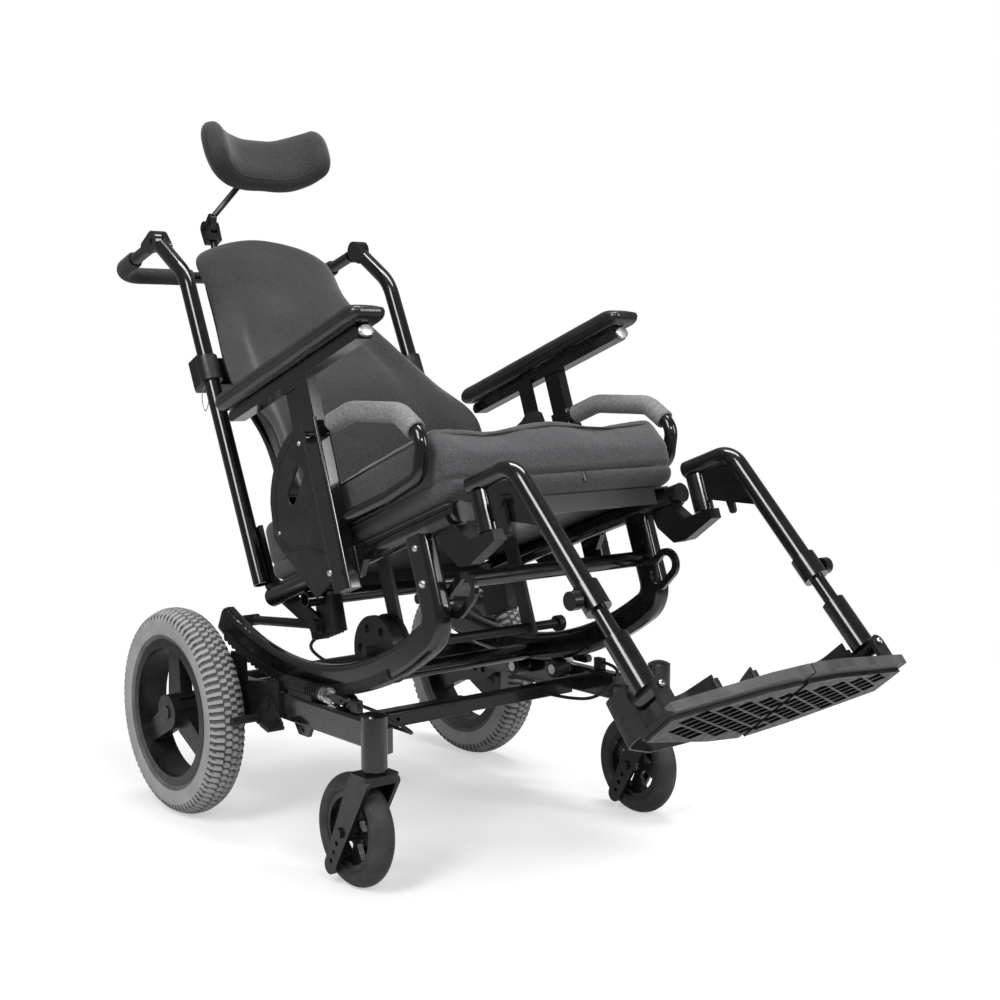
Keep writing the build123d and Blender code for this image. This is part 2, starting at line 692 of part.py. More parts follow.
rail_crest = seat_rail_h + seat_rail_diameter / 2
pan_under = rail_crest + seat_gap
with BuildPart() as seat_pan:
    with BuildSketch(seat_side(-pan_half_width)):
        with BuildLine():
            Polyline((pan_rear, pan_under - 22), (pan_rear + pan_wall, pan_under - 22),
                     (pan_rear + pan_wall, pan_under), (pan_front - pan_wall, pan_under),
                     (pan_front - pan_wall, pan_under - 22), (pan_front, pan_under - 22),
                     (pan_front, pan_under + pan_wall), (pan_rear, pan_under + pan_wall), close=True)
        make_face()
    extrude(amount=-2 * pan_half_width)
    # the flanges stop short of the rails
    for x in (-frame_x + 8, frame_x - 8):
        with BuildSketch(facing(seat_side, seat_rail_front, pan_under - 13)):
            with Locations((x, 0)):
                Rectangle(36, 26)
        extrude(amount=seat_rail_rear - seat_rail_front, mode=Mode.SUBTRACT)
    # plates under the pan that carry the release shaft
    for x in (-hanger_plate_x, hanger_plate_x):
        with BuildSketch(seat_side(x)):
            with BuildLine():
                Polyline((shaft_s - 13, shaft_h - 13), (shaft_s + 13, shaft_h - 13),
                         (shaft_s + 13, pan_under + 1),
                         (shaft_s - 13, pan_under + 1), close=True)
            make_face()
            with Locations((shaft_s, shaft_h)):
                Circle(shaft_radius + fit_gap, mode=Mode.SUBTRACT)
        extrude(amount=3, both=True)
keep("seat_pan", seat_pan)

# cross tubes: at the front of the rockers, at their rear, and under the rails by the hinges
rocker_face = frame_x - frame_tube / 2 - seat_gap
front_tube_share = 0.32  # of the way from the rocker's bend up to the seat rail
front_tube_at = (front_tube_s - 5.0, bend_end_h + front_tube_share * (seat_rail_h - bend_end_h))
rear_tube_at = on_arc(rocker_outer - 14.2, -14.1)
hinge_tube_at = (-125.0, seat_rail_h - seat_rail_diameter / 2 - seat_gap - cross_tube / 2)
with BuildPart() as seat_cross_tubes:
    add(straight_tube(point(seat_side, -rocker_face, *front_tube_at),
                      point(seat_side, rocker_face, *front_tube_at),
                      cross_tube, tube_wall))
    add(straight_tube(point(seat_side, -rocker_face, *rear_tube_at),
                      point(seat_side, rocker_face, *rear_tube_at),
                      frame_tube, tube_wall))
    add(straight_tube(point(seat_side, -frame_x - 8, *hinge_tube_at),
                      point(seat_side, frame_x + 8, *hinge_tube_at),
                      cross_tube, tube_wall))
keep("seat_cross_tubes", seat_cross_tubes)

# ---------------------------------------------------------------- recline hinge blocks
back_plate_out = frame_x - seat_rail_diameter / 2 - move_gap
back_plate_thickness = 6.0
plate_in_x = back_plate_out - back_plate_thickness
block_x = plate_in_x - move_gap
block_width = 24.0
rocker_end = radians(-rocker_rear_angle)
brace_end = (-(rocker_inner + 14) * sin(rocker_end - 0.045),
             -(rocker_inner + 14) * cos(rocker_end - 0.045))
with BuildPart() as hinge_blocks:
    with BuildSketch(seat_side(-block_x)):
        with BuildLine():
            Polyline((-172, -440), (-112, -440), (-108, -382), (-142, -382), (-146, -402), (-172, -402),
                     close=True)
        make_face()
        with Locations(hinge_tube_at):
            Circle(cross_tube / 2 + seat_gap, mode=Mode.SUBTRACT)
    extrude(amount=-block_width)
    # ribs on the lower part
    for k in range(5):
        with BuildSketch(seat_side(-block_x + 1)):
            with Locations((-162 + 10 * k, -440)):
                Rectangle(4, 3)
        extrude(amount=-block_width + 2)
    # recline pin
    add(straight_tube(point(seat_side, -block_x + 4, pivot_s, pivot_h),
                      point(seat_side, -rocker_face - 6, pivot_s, pivot_h),
                      2 * pivot_radius))
    add(straight_tube(point(seat_side, -back_plate_out - move_gap, pivot_s, pivot_h),
                      point(seat_side, -rocker_face - 6, pivot_s, pivot_h), 18))
    # brace from the block to the rear end of the rocker
    brace_x = block_x - 12
    add(straight_tube(point(seat_side, -brace_x, -160, -421), point(seat_side, -brace_x, *brace_end), 14))
    add(straight_tube(point(seat_side, -brace_x + 9, *brace_end),
                      point(seat_side, -rocker_face, *brace_end), 18))
    mirror(about=Plane.YZ)
keep("hinge_blocks", hinge_blocks)

# ---------------------------------------------------------------- release shaft
with BuildPart() as release_shaft:
    add(straight_tube(point(seat_side, -rocker_face + 1, shaft_s, shaft_h),
                      point(seat_side, rocker_face - 1, shaft_s, shaft_h),
                      2 * shaft_radius))
    for x0, x1, d in ((-drum_x - drum_width / 2, -drum_x + drum_width / 2, 2 * drum_radius - 8),
                      (-drum_x - drum_width / 2, -drum_x - drum_width / 2 + 6, 2 * drum_radius),
                      (-drum_x + drum_width / 2 - 6, -drum_x + drum_width / 2, 2 * drum_radius),
                      (rocker_face - 12, rocker_face - 1, 24)):
        add(straight_tube(point(seat_side, x0, shaft_s, shaft_h), point(seat_side, x1, shaft_s, shaft_h),
                          d))
    # notches round the drum's face
    drum_face = Plane(origin=point(seat_side, -drum_x - drum_width / 2, shaft_s, shaft_h),
                      x_dir=(0, -1, 0), z_dir=(-1, 0, 0))
    with BuildSketch(drum_face):
        with PolarLocations(drum_radius - 16, 6):
            Circle(6)
    extrude(amount=-4, mode=Mode.SUBTRACT)
keep("release_shaft", release_shaft)

# ---------------------------------------------------------------- arm receivers
rail_side = frame_x + seat_rail_diameter / 2 + seat_gap
receiver_in = arm_x - receiver_width / 2
with BuildPart() as arm_receivers:
    with BuildSketch(level(seat_side, receiver_s, receiver_bottom)):
        with Locations((-arm_x, 0)):
            RectangleRounded(receiver_width, receiver_depth, radius=5)
            Rectangle(receiver_width - 2 * receiver_wall, receiver_depth - 2 * receiver_wall,
                      mode=Mode.SUBTRACT)
    extrude(amount=receiver_top - receiver_bottom)
    # floor
    with BuildSketch(level(seat_side, receiver_s, receiver_bottom)):
        with Locations((-arm_x, 0)):
            RectangleRounded(receiver_width, receiver_depth, radius=5)
    extrude(amount=6)
    # lug to the seat rail
    with BuildSketch(seat_side(-rail_side)):
        with BuildLine():
            Polyline((34, -350), (66, -350), (66, -374), (48, -392), (34, -392), close=True)
        make_face()
    extrude(amount=receiver_in + 3 - rail_side)
    # height clamp
    with BuildSketch(seat_side(-arm_x - receiver_width / 2 + 1)):
        with Locations((receiver_s, receiver_top - 24)):
            Circle(9)
    extrude(amount=12)
    mirror(about=Plane.YZ)
keep("arm_receivers", arm_receivers)

# ---------------------------------------------------------------- grab loops
loop_x = 221.0
loop_tube = 19.0
loop_foam = 28.0
loop_root = receiver_s + receiver_depth / 2 + seat_gap
loop_points = [(loop_root, -182), (112, -182), (214, -218), (250, -262), (226, -306), (150, -312),
               (loop_root, -312)]
loop_bends = [60, 38, 24, 24, 40]
with BuildPart() as grab_loops:
    add(bent_tube(seat_side(-loop_x), loop_points, loop_bends, loop_tube, tube_wall))
    mirror(about=Plane.YZ)
keep("grab_loops", grab_loops)

with BuildPart() as grab_grips:
    foam_points = [(66, -182), (112, -182), (206, -215.2)]
    add(bent_tube(seat_side(-loop_x), foam_points, [60], loop_foam,
                  (loop_foam - loop_tube) / 2 - seat_gap))
    mirror(about=Plane.YZ)
keep("grab_grips", grab_grips)

# ---------------------------------------------------------------- tie-down loops
with BuildPart() as tie_down_loops:
    loop_side = frame_x - frame_tube / 2 - seat_gap - 5
    with BuildSketch(seat_side(-loop_side - 4.9)):
        with Locations((front_tube_s + 38, bend_end_h + 7)):
            SlotOverall(70, 44, rotation=25)
            SlotOverall(50, 24, rotation=25, mode=Mode.SUBTRACT)
    extrude(amount=-6)
    mirror(about=Plane.YZ)
keep("tie_down_loops", tie_down_loops)

# ---------------------------------------------------------------- hanger brackets, with the swing pins
pin_x = frame_x - 5
hanger_under = hanger_top_h - frame_tube / 2
pivot_tube_bottom = -399.0
with BuildPart() as hanger_brackets:
    with BuildSketch(seat_side(-pin_x)):
        with BuildLine():
            Polyline((208, -377), (250, -377), (270, -400 - move_gap), (318, -400 - move_gap),
                     (318, -414), (262, -430), (238, -428), (214, -400), close=True)
        make_face()
    extrude(amount=10, both=True)
    # saddle round the lower half of the rail
    with BuildSketch(facing(seat_side, 250, seat_rail_h)):
        with Locations((-frame_x, 0)):
            Circle(seat_rail_diameter / 2 + 4)
            Circle(seat_rail_diameter / 2 + seat_gap, mode=Mode.SUBTRACT)
        with Locations((-frame_x, 16)):
            Rectangle(50, 32, mode=Mode.SUBTRACT)
    extrude(amount=-44)
    # swing pin
    with BuildSketch(level(seat_side, swing_s, -402)):
        with Locations((-pin_x, 0)):
            Circle(swing_pin_radius)
    extrude(amount=402 + hanger_under - 4)
    mirror(about=Plane.YZ)
keep("hanger_brackets", hanger_brackets)

# ---------------------------------------------------------------- seat cushion
cushion_under = pan_under + pan_wall + soft_gap
cushion_height = cushion_top - cushion_under
with BuildPart() as seat_cushion:
    corner = 26.0
    crown = 6.0
    with BuildSketch(facing(seat_side, cushion_front, cushion_under)):
        with BuildLine():
            w = cushion_half_width
            top = cushion_height
            Line((-w + 10, 0), (w - 10, 0))
            ThreePointArc((w - 10, 0), (w, 16), (w - 3, 34))
            ThreePointArc((w - 3, 34), (w, top - 24), (w - 14, top))
            ThreePointArc((w - 14, top), (w - 60, top + crown + 5), (w - 110, top))
            ThreePointArc((w - 110, top), (0, top - crown / 2), (110 - w, top))
            ThreePointArc((110 - w, top), (60 - w, top + crown + 5), (14 - w, top))
            ThreePointArc((14 - w, top), (-w, top - 24), (3 - w, 34))
            ThreePointArc((3 - w, 34), (-w, 16), (10 - w, 0))
        make_face()
    extrude(amount=cushion_rear - cushion_front)
    # front and rear are drawn in and rounded
    with BuildSketch(seat_side(0)) as outline:
        with BuildLine():
            f, r = cushion_front, cushion_rear
            b, t = cushion_under - 1, cushion_top + 12
            Line((r + 6, b), (f - 8, b))
            ThreePointArc((f - 8, b), (f, b + 18), (f - 4, b + 36))
            ThreePointArc((f - 4, b + 36), (f, b + 66), (f - 22, t - 4))
            ThreePointArc((f - 22, t - 4), (0, t), (r + 16, t - 8))
            ThreePointArc((r + 16, t - 8), (r, b + 60), (r + 6, b))
        make_face()
    extrude(amount=cushion_half_width + 5, both=True, mode=Mode.INTERSECT)
keep("seat_cushion", seat_cushion)

# ================================================================ back
top_angle = radians(cane_bend_back)
elbow = (-cane_top_run * sin(top_angle), cane_straight + cane_top_run * cos(top_angle))
knuckle_width = 11.5
with BuildPart() as back_canes:
    short = cane_top_run - knuckle_radius - 1
    cane_points = [(0, 0), (0, cane_straight),
                   (-short * sin(top_angle), cane_straight + short * cos(top_angle))]
    add(bent_tube(back_side(-frame_x), cane_points, [80], frame_tube, tube_wall))
    # knuckle that the push handle turns on
    with BuildSketch(back_side(-frame_x + move_gap / 2)):
        with Locations(elbow):
            Circle(knuckle_radius)
        with Locations((elbow[0] + 22 * sin(top_angle), elbow[1] - 22 * cos(top_angle))):
            Circle(frame_tube / 2 - 1)
        make_hull()
    extrude(amount=-knuckle_width)
    add(straight_tube(point(back_side, -frame_x + 4, *elbow),
                      point(back_side, -frame_x - knuckle_width + 2, *elbow), 10))
    mirror(about=Plane.YZ)
keep("back_canes", back_canes)

pivot_on_back = back_side(0).to_local_coords(seat_side(0).from_local_coords((pivot_s, pivot_h, 0)))
pivot_xy = (pivot_on_back.X, pivot_on_back.Y)
with BuildPart() as back_plates:
    with BuildSketch(back_side(-plate_in_x)):
        with Locations(pivot_xy):
            Circle(14)
        with Locations((-3, 3)):
            Circle(13.5)
        make_hull()
        with BuildLine():
            Polyline((-16, 0), (10, 0), (10, 90), (-16, 90), close=True)
        make_face()
        with Locations(pivot_xy):
            Circle(pivot_radius + fit_gap, mode=Mode.SUBTRACT)
    extrude(amount=back_plate_thickness)
    # pad under the cane
    with BuildSketch(back_side(-back_plate_out + 1)):
        with Locations((0, 44)):
            Rectangle(18, 84)
    extrude(amount=rocker_face - back_plate_out + 0.9)
    mirror(about=Plane.YZ)
keep("back_plates", back_plates)


def back_levels():
    """Height up the cane, half width, edge and centre of the cushion's rear face, thickness."""
    lower = [(112, 185, 118, -10, 52), (200, 193, 128, -14, 58), (300, 191, 52, -18, 60)]
    upper = [(385, 170, 4, -50, 60), (470, 148, -34, -62, 58), (545, 132, -60, -82, 54),
             (598, 92, -80, -95, 34)]
    return lower + upper


def arc_centre(width, edge, centre):
    """Offset of the centre, and radius, of the arc through the middle and both edges."""
    rise = edge - centre
    radius = (width ** 2 + rise ** 2) / (2 * rise)
    return centre + radius, radius


def crescent(height, width, edge, centre, thick):
    """Horizontal slice of the back cushion."""
    with BuildSketch(level(back_side, 0, height)) as slice_sketch:
        with BuildLine():
            ThreePointArc((-width, -edge), (0, -centre), (width, -edge))
            ThreePointArc((width, -edge), (width - 4, -edge - 12), (width - 16, -edge - 14))
            ThreePointArc((width - 16, -edge - 14), (0, -centre - thick), (16 - width, -edge - 14))
            ThreePointArc((16 - width, -edge - 14), (4 - width, -edge - 12), (-width, -edge))
        make_face()
    return slice_sketch.sketch


def shell_slice(height, width, edge, centre):
    middle, radius = arc_centre(width, edge, centre)
    inner = radius + shell_gap
    outer = inner + shell_thickness
    reach = width - 12
    with BuildSketch(level(back_side, 0, height)) as slice_sketch:
        with BuildLine():
            y_in = -middle + sqrt(inner ** 2 - reach ** 2)
            y_out = -middle + sqrt(outer ** 2 - reach ** 2)
            ThreePointArc((-reach, y_in), (0, -middle + inner), (reach, y_in))
            Line((reach, y_in), (reach, y_out))
            ThreePointArc((reach, y_out), (0, -middle + outer), (-reach, y_out))
            Line((-reach, y_out), (-reach, y_in))
        make_face()
    return slice_sketch.sketch


with BuildPart() as back_cushion:
    for t, width, edge, centre, thick in back_levels():
        add(crescent(t, width, edge, centre, thick))
    loft(ruled=False)
keep("back_cushion", back_cushion)

with BuildPart() as back_shell:
    for t, width, edge, centre, _ in back_levels():
        add(shell_slice(t, width, edge, centre))
    loft(ruled=False)
keep("back_shell", back_shell)

# clamps that hold the shell to the canes
with BuildPart() as cane_clamps:
    with BuildSketch(level(back_side, 0, 332)):
        with Locations((-frame_x, 0)):
            Circle(17)
            Circle(frame_tube / 2 + seat_gap, mode=Mode.SUBTRACT)
    extrude(amount=40)
    with BuildSketch(level(back_side, 0, 340)):
        with BuildLine():
            Polyline((-199, 14.5), (-191, 14.5), (-176, 30), (-136, 30), (-136, 62), (-190, 62),
                     (-199, 50), close=True)
        make_face()
    extrude(amount=46)
    with BuildSketch(facing(back_side, -18.6, 362)):
        with Locations((-146, 0)):
            Circle(5)
    extrude(amount=-14)
    mirror(about=Plane.YZ)
keep("cane_clamps", cane_clamps)

# ---------------------------------------------------------------- push handle
post_x = -60.0
post_off = -112.0
handle_angle = radians(17)
elbow_at = back_side(0).from_local_coords((elbow[0], elbow[1], 0))
arm_plane = Plane(origin=elbow_at, x_dir=(1, 0, 0), z_dir=(0, sin(handle_angle), cos(handle_angle)))
arm_start = 25.0
arm_end = handle_reach - 2
grip_inner = 52.0
with BuildPart() as push_handle:
    with BuildLine(arm_plane) as handle_route:
        FilletPolyline((-frame_x, arm_start), (-frame_x, arm_end), (frame_x, arm_end),
                       (frame_x, arm_start), radius=48)
    with BuildSketch(Plane(origin=handle_route.line @ 0, z_dir=handle_route.line % 0)):
        Circle(handle_tube / 2)
        Circle(handle_tube / 2 - tube_wall, mode=Mode.SUBTRACT)
    sweep(path=handle_route.line)
    # half knuckles outside those of the canes
    for sign in (-1, 1):
        with BuildSketch(Plane(origin=elbow_at + Vector(sign * (frame_x + move_gap / 2), 0, 0),
                               x_dir=arm_plane.y_dir,
                               z_dir=(1, 0, 0) if sign > 0 else (-1, 0, 0))):
            Circle(knuckle_radius)
            with Locations((arm_start + 4, 0)):
                Circle(handle_tube / 2)
            make_hull()
            Circle(5 + fit_gap, mode=Mode.SUBTRACT)
        extrude(amount=knuckle_width)
keep("push_handle", push_handle)

with BuildPart() as push_grips:
    with BuildLine(arm_plane) as grip_route:
        FilletPolyline((-frame_x, arm_start + 62), (-frame_x, arm_end), (-grip_inner, arm_end), radius=48)
    with BuildSketch(Plane(origin=grip_route.line @ 0, z_dir=grip_route.line % 0)):
        Circle(grip_diameter / 2)
        Circle(handle_tube / 2 + seat_gap, mode=Mode.SUBTRACT)
    sweep(path=grip_route.line)
    mirror(about=Plane.YZ)
keep("push_grips", push_grips)

# ---------------------------------------------------------------- headrest
post_radius = 6.0
head_t = 733.0
knuckle_t = 667.0
knuckle_off = -112.0
with BuildPart() as headrest_bracket:
    with BuildSketch(level(back_side, 0, 462)):
        with Locations((post_x, 97)):
            RectangleRounded(30, 50, radius=5)
        with Locations((post_x, -post_off)):
            Circle(post_radius + fit_gap, mode=Mode.SUBTRACT)
    extrude(amount=46)
    # clamp knob
    add(straight_tube(point(back_side, post_x - 13, post_off, 486),
                      point(back_side, post_x - 30, post_off, 486), 16))
    # cut to the back of the shell
    for t, width, edge, centre, thick in back_levels()[4:6]:
        grown = (t - 12 if t < 500 else t, width + 20, edge - 5.2, centre - 5.2, thick + 60)
        add(crescent(*grown))
    loft(mode=Mode.SUBTRACT)
keep("headrest_bracket", headrest_bracket)

with BuildPart() as headrest_post:
    add(straight_tube(point(back_side, post_x, post_off, 412),
                      point(back_side, post_x, post_off, knuckle_t - 10),
                      2 * post_radius))
    # fork for the rod's knuckle
    with BuildSketch(back_side(post_x - 12)):
        with Locations((knuckle_off, knuckle_t)):
            Circle(12)
        with Locations((knuckle_off, knuckle_t - 20)):
            Rectangle(20, 14)
        make_hull()
        with Locations((knuckle_off, knuckle_t)):
            Circle(4 + fit_gap, mode=Mode.SUBTRACT)
    extrude(amount=-24)
    with BuildSketch(back_side(post_x - 6)):
        with Locations((knuckle_off, knuckle_t + 5)):
            Rectangle(30, 38)
    extrude(amount=-12, mode=Mode.SUBTRACT)
keep("headrest_post", headrest_post)

pad_back_off = -38.0
with BuildPart() as headrest_rod:
    with BuildSketch(back_side(post_x - 6 + move_gap)):
        with Locations((knuckle_off, knuckle_t)):
            Circle(11.5)
        with Locations((knuckle_off + 16, knuckle_t + 13)):
            Circle(6)
        make_hull()
    extrude(amount=-12 + 2 * move_gap)
    add(straight_tube(point(back_side, post_x - 14, knuckle_off, knuckle_t),
                      point(back_side, post_x + 14, knuckle_off, knuckle_t), 8))
    rod_start = point(back_side, post_x, knuckle_off + 15, knuckle_t + 12)
    rod_end = point(back_side, -6, pad_back_off - 16, head_t)
    add(straight_tube(rod_start, rod_end, 10))
    # ball and pad plate
    add(straight_tube(point(back_side, 0, pad_back_off - 24, head_t),
                      point(back_side, 0, pad_back_off - 4, head_t), 24))
    with BuildSketch(facing(back_side, pad_back_off - soft_gap, head_t)):
        RectangleRounded(90, 46, radius=14)
    extrude(amount=-4)
keep("headrest_rod", headrest_rod)

with BuildPart() as headrest_pad:
    with BuildSketch(level(back_side, 0, head_t - 52)):
        with BuildLine():
            ThreePointArc((-124, -46), (-70, 30), (-50, -pad_back_off))
            Line((-50, -pad_back_off), (50, -pad_back_off))
            ThreePointArc((50, -pad_back_off), (70, 30), (124, -46))
            ThreePointArc((124, -46), (118, -56), (106, -52))
            ThreePointArc((106, -52), (60, -18), (0, -12))
            ThreePointArc((0, -12), (-60, -18), (-106, -52))
            ThreePointArc((-106, -52), (-118, -56), (-124, -46))
        make_face()
    extrude(amount=104)
    # butterfly outline
    with BuildSketch(facing(back_side, 90, head_t)):
        with BuildLine():
            ThreePointArc((0, 42), (44, 50), (100, 34))
            ThreePointArc((100, 34), (124, 0), (100, -42))
            ThreePointArc((100, -42), (48, -44), (0, -36))
            ThreePointArc((0, -36), (-48, -44), (-100, -42))
            ThreePointArc((-100, -42), (-124, 0), (-100, 34))
            ThreePointArc((-100, 34), (-44, 50), (0, 42))
        make_face()
    extrude(amount=-180, mode=Mode.INTERSECT)
keep("headrest_pad", headrest_pad)

# ================================================================ armrests
post_wide = receiver_width - 2 * receiver_wall - 2 * fit_gap
post_deep = receiver_depth - 2 * receiver_wall - 2 * fit_gap
arm_rail_depth = 16.0
pad_under = arm_rail_h + arm_rail_depth / 2 + soft_gap
with BuildPart() as armrest_frame:
    with BuildSketch(level(seat_side, receiver_s, receiver_bottom + 6 + move_gap)):
        with Locations((-arm_x, 0)):
            Rectangle(post_wide, post_deep)
            Rectangle(post_wide - 2 * tube_wall, post_deep - 2 * tube_wall, mode=Mode.SUBTRACT)
    extrude(amount=arm_rail_h - receiver_bottom - 6)
    with BuildSketch(seat_side(-arm_x)):
        with BuildLine():
            r = arm_rail_depth / 2
            Line((-165, arm_rail_h - r), (180, arm_rail_h - r))
            ThreePointArc((180, arm_rail_h - r), (180 + r, arm_rail_h), (180, arm_rail_h + r))
            Line((180, arm_rail_h + r), (-165, arm_rail_h + r))
            ThreePointArc((-165, arm_rail_h + r), (-165 - r, arm_rail_h), (-165, arm_rail_h - r))
        make_face()
    extrude(amount=11, both=True)
    # tab that carries the side guard
    with BuildSketch(seat_side(-guard_x - guard_thickness / 2 - seat_gap)):
        with BuildLine():
            Polyline((-46, -98), (-14, -98), (-14, -178), (-46, -178), close=True)
        make_face()
    extrude(amount=3)
    with Locations(point(seat_side, -arm_x + 8, -30, -100)):
        Cylinder(5, 12, rotation=(0, 90, 0))
keep_pair("armrest_frame", armrest_frame)

with BuildPart() as arm_pad:
    pad_end = facing(seat_side, arm_pad_front, pad_under)
    with BuildSketch(pad_end.shift_origin(pad_end.from_local_coords((-arm_x, 0, 0)))):
        with BuildLine():
            w = arm_pad_width / 2
            h = arm_pad_top - pad_under
            Line((-w + 4, 0), (w - 4, 0))
            ThreePointArc((w - 4, 0), (w, 6), (w - 1, h - 10))
            ThreePointArc((w - 1, h - 10), (w - 5, h - 3), (w - 13, h - 1))
            ThreePointArc((w - 13, h - 1), (0, h), (13 - w, h - 1))
            ThreePointArc((13 - w, h - 1), (5 - w, h - 3), (1 - w, h - 10))
            ThreePointArc((1 - w, h - 10), (-w, 6), (4 - w, 0))
        make_face()
    extrude(amount=arm_pad_rear - arm_pad_front)
    with BuildSketch(level(seat_side, (arm_pad_front + arm_pad_rear) / 2, pad_under - 1)):
        with Locations((-arm_x, 0)):
            RectangleRounded(arm_pad_width + 2, arm_pad_front - arm_pad_rear, radius=20)
    extrude(amount=40, mode=Mode.INTERSECT)
    # front end rolls down a little
    with BuildSketch(seat_side(-arm_x)):
        with BuildLine():
            top = arm_pad_top + 1
            Polyline((arm_pad_rear, pad_under - 1), (arm_pad_front - 8, pad_under - 1),
                     (arm_pad_front, pad_under + 10))
            ThreePointArc((arm_pad_front, pad_under + 10), (arm_pad_front - 6, top - 9),
                          (arm_pad_front - 26, top))
            Line((arm_pad_front - 26, top), (arm_pad_rear + 20, top))
            ThreePointArc((arm_pad_rear + 20, top), (arm_pad_rear + 5, top - 8),
                          (arm_pad_rear, pad_under - 1))
        make_face()
    extrude(amount=arm_pad_width, both=True, mode=Mode.INTERSECT)
keep_pair("arm_pad", arm_pad)

with BuildPart() as side_guard:
    with BuildSketch(seat_side(-guard_x + guard_thickness / 2)):
        with BuildLine():
            Polyline((-78, -395), (0, -372), (30, -352), (12, -240), (-4, -158))
            ThreePointArc((-4, -158), (-20, -150), (-52, -156))
            ThreePointArc((-52, -156), (-112, -184), (-150, -238))
            Polyline((-150, -238), (-158, -289), (-78, -395))
        make_face()
        # arched slot
        with Locations((-74, -232)):
            SlotOverall(64, 22, rotation=38, mode=Mode.SUBTRACT)
    extrude(amount=guard_thickness)
keep_pair("side_guard", side_guard)

# ================================================================ hangers
leg_angle = radians(hanger_angle)
leg_dir = (cos(leg_angle), -sin(leg_angle))
corner = (hanger_corner_s, hanger_top_h)


def down_leg(distance, forward=0.0):
    """A point beside the hanger's leg: distance from its corner and forward offset."""
    return (corner[0] + distance * leg_dir[0] + forward * sin(leg_angle),
            corner[1] + distance * leg_dir[1] + forward * cos(leg_angle))


leg_end = down_leg(hanger_length)
hanger_wall = (frame_tube - extension_tube) / 2 - fit_gap
with BuildPart() as hanger:
    hanger_points = [(swing_s - 14, hanger_top_h), corner, leg_end]
    add(bent_tube(seat_side(-pin_x), hanger_points, [34], frame_tube, hanger_wall))
    # tube that turns on the swing pin
    with BuildSketch(level(seat_side, swing_s, pivot_tube_bottom)):
        with Locations((-pin_x, 0)):
            Circle(14)
            Circle(swing_pin_radius + fit_gap, mode=Mode.SUBTRACT)
    extrude(amount=hanger_under + 2 - pivot_tube_bottom)
    # gusset
    with BuildSketch(seat_side(-pin_x + 3)):
        with BuildLine():
            Polyline((swing_s + 12, hanger_top_h - 11), (corner[0] - 16, hanger_top_h - 11),
                     down_leg(30, -11),
                     down_leg(82, -11), (swing_s + 12, -386), close=True)
        make_face()
    extrude(amount=6)
    # cap on the end by the pin
    add(straight_tube(point(seat_side, -pin_x, swing_s - 14, hanger_top_h),
                      point(seat_side, -pin_x, swing_s - 11, hanger_top_h), frame_tube))
    # clamp collar at the lower end, with its knob
    add(straight_tube(point(seat_side, -pin_x, *down_leg(hanger_length - 34)),
                      point(seat_side, -pin_x, *leg_end), frame_tube + 8, 4 - seat_gap))
    knob = down_leg(hanger_length - 17)
    add(straight_tube(point(seat_side, -pin_x - 15, *knob), point(seat_side, -pin_x - 24, *knob), 9))
    add(straight_tube(point(seat_side, -pin_x - 22, *knob), point(seat_side, -pin_x - 34, *knob), 22))
keep_pair("hanger", hanger)

# latch lever on the gusset
latch_s = swing_s + 42
with BuildPart() as latch_lever:
    add(straight_tube(point(seat_side, -pin_x - 3 - move_gap, latch_s, -372),
                      point(seat_side, -pin_x - 12, latch_s, -372), 18))
    with BuildSketch(seat_side(-pin_x - 3 - move_gap - 2)):
        with Locations((latch_s, -372)):
            Circle(8)
        with Locations((latch_s + 2, -410)):
            Circle(5)
        make_hull()
    extrude(amount=5)
keep_pair("latch_lever", latch_lever)

# ================================================================ footrests
plate_angle = radians(footplate_slope)
depth_dir = (cos(plate_angle), sin(plate_angle))
hinge_at = down_leg(footplate_reach)
foot_lean = tilt_rest + footplate_slope
hinge_point = seat_side(0).from_local_coords((hinge_at[0], hinge_at[1], 0))


def foot_side(x):
    """Side plane through the flip hinge: local x along the plate, local y away from it."""
    return leaning(x, hinge_point.Y, hinge_point.Z, foot_lean)


with BuildPart() as footrest:
    add(straight_tube(point(seat_side, -pin_x, *down_leg(hanger_length - 150)),
                      point(seat_side, -pin_x, *down_leg(footplate_reach - 6)), extension_tube,
                      tube_wall))
    add(straight_tube(point(seat_side, -pin_x, *down_leg(hanger_length + 38)),
                      point(seat_side, -pin_x, *down_leg(footplate_reach - 6)), sleeve_diameter, 5.5))
    # hinge barrel
    add(straight_tube(point(foot_side, -pin_x, -hinge_barrel / 2, 0),
                      point(foot_side, -pin_x, hinge_barrel / 2, 0), 20))
    with BuildSketch(facing(foot_side, hinge_barrel / 2, 0)):
        with Locations((-pin_x, 0)):
            Circle(hinge_pin_radius + fit_gap)
    extrude(amount=-hinge_barrel, mode=Mode.SUBTRACT)
keep_pair("footrest", footrest)

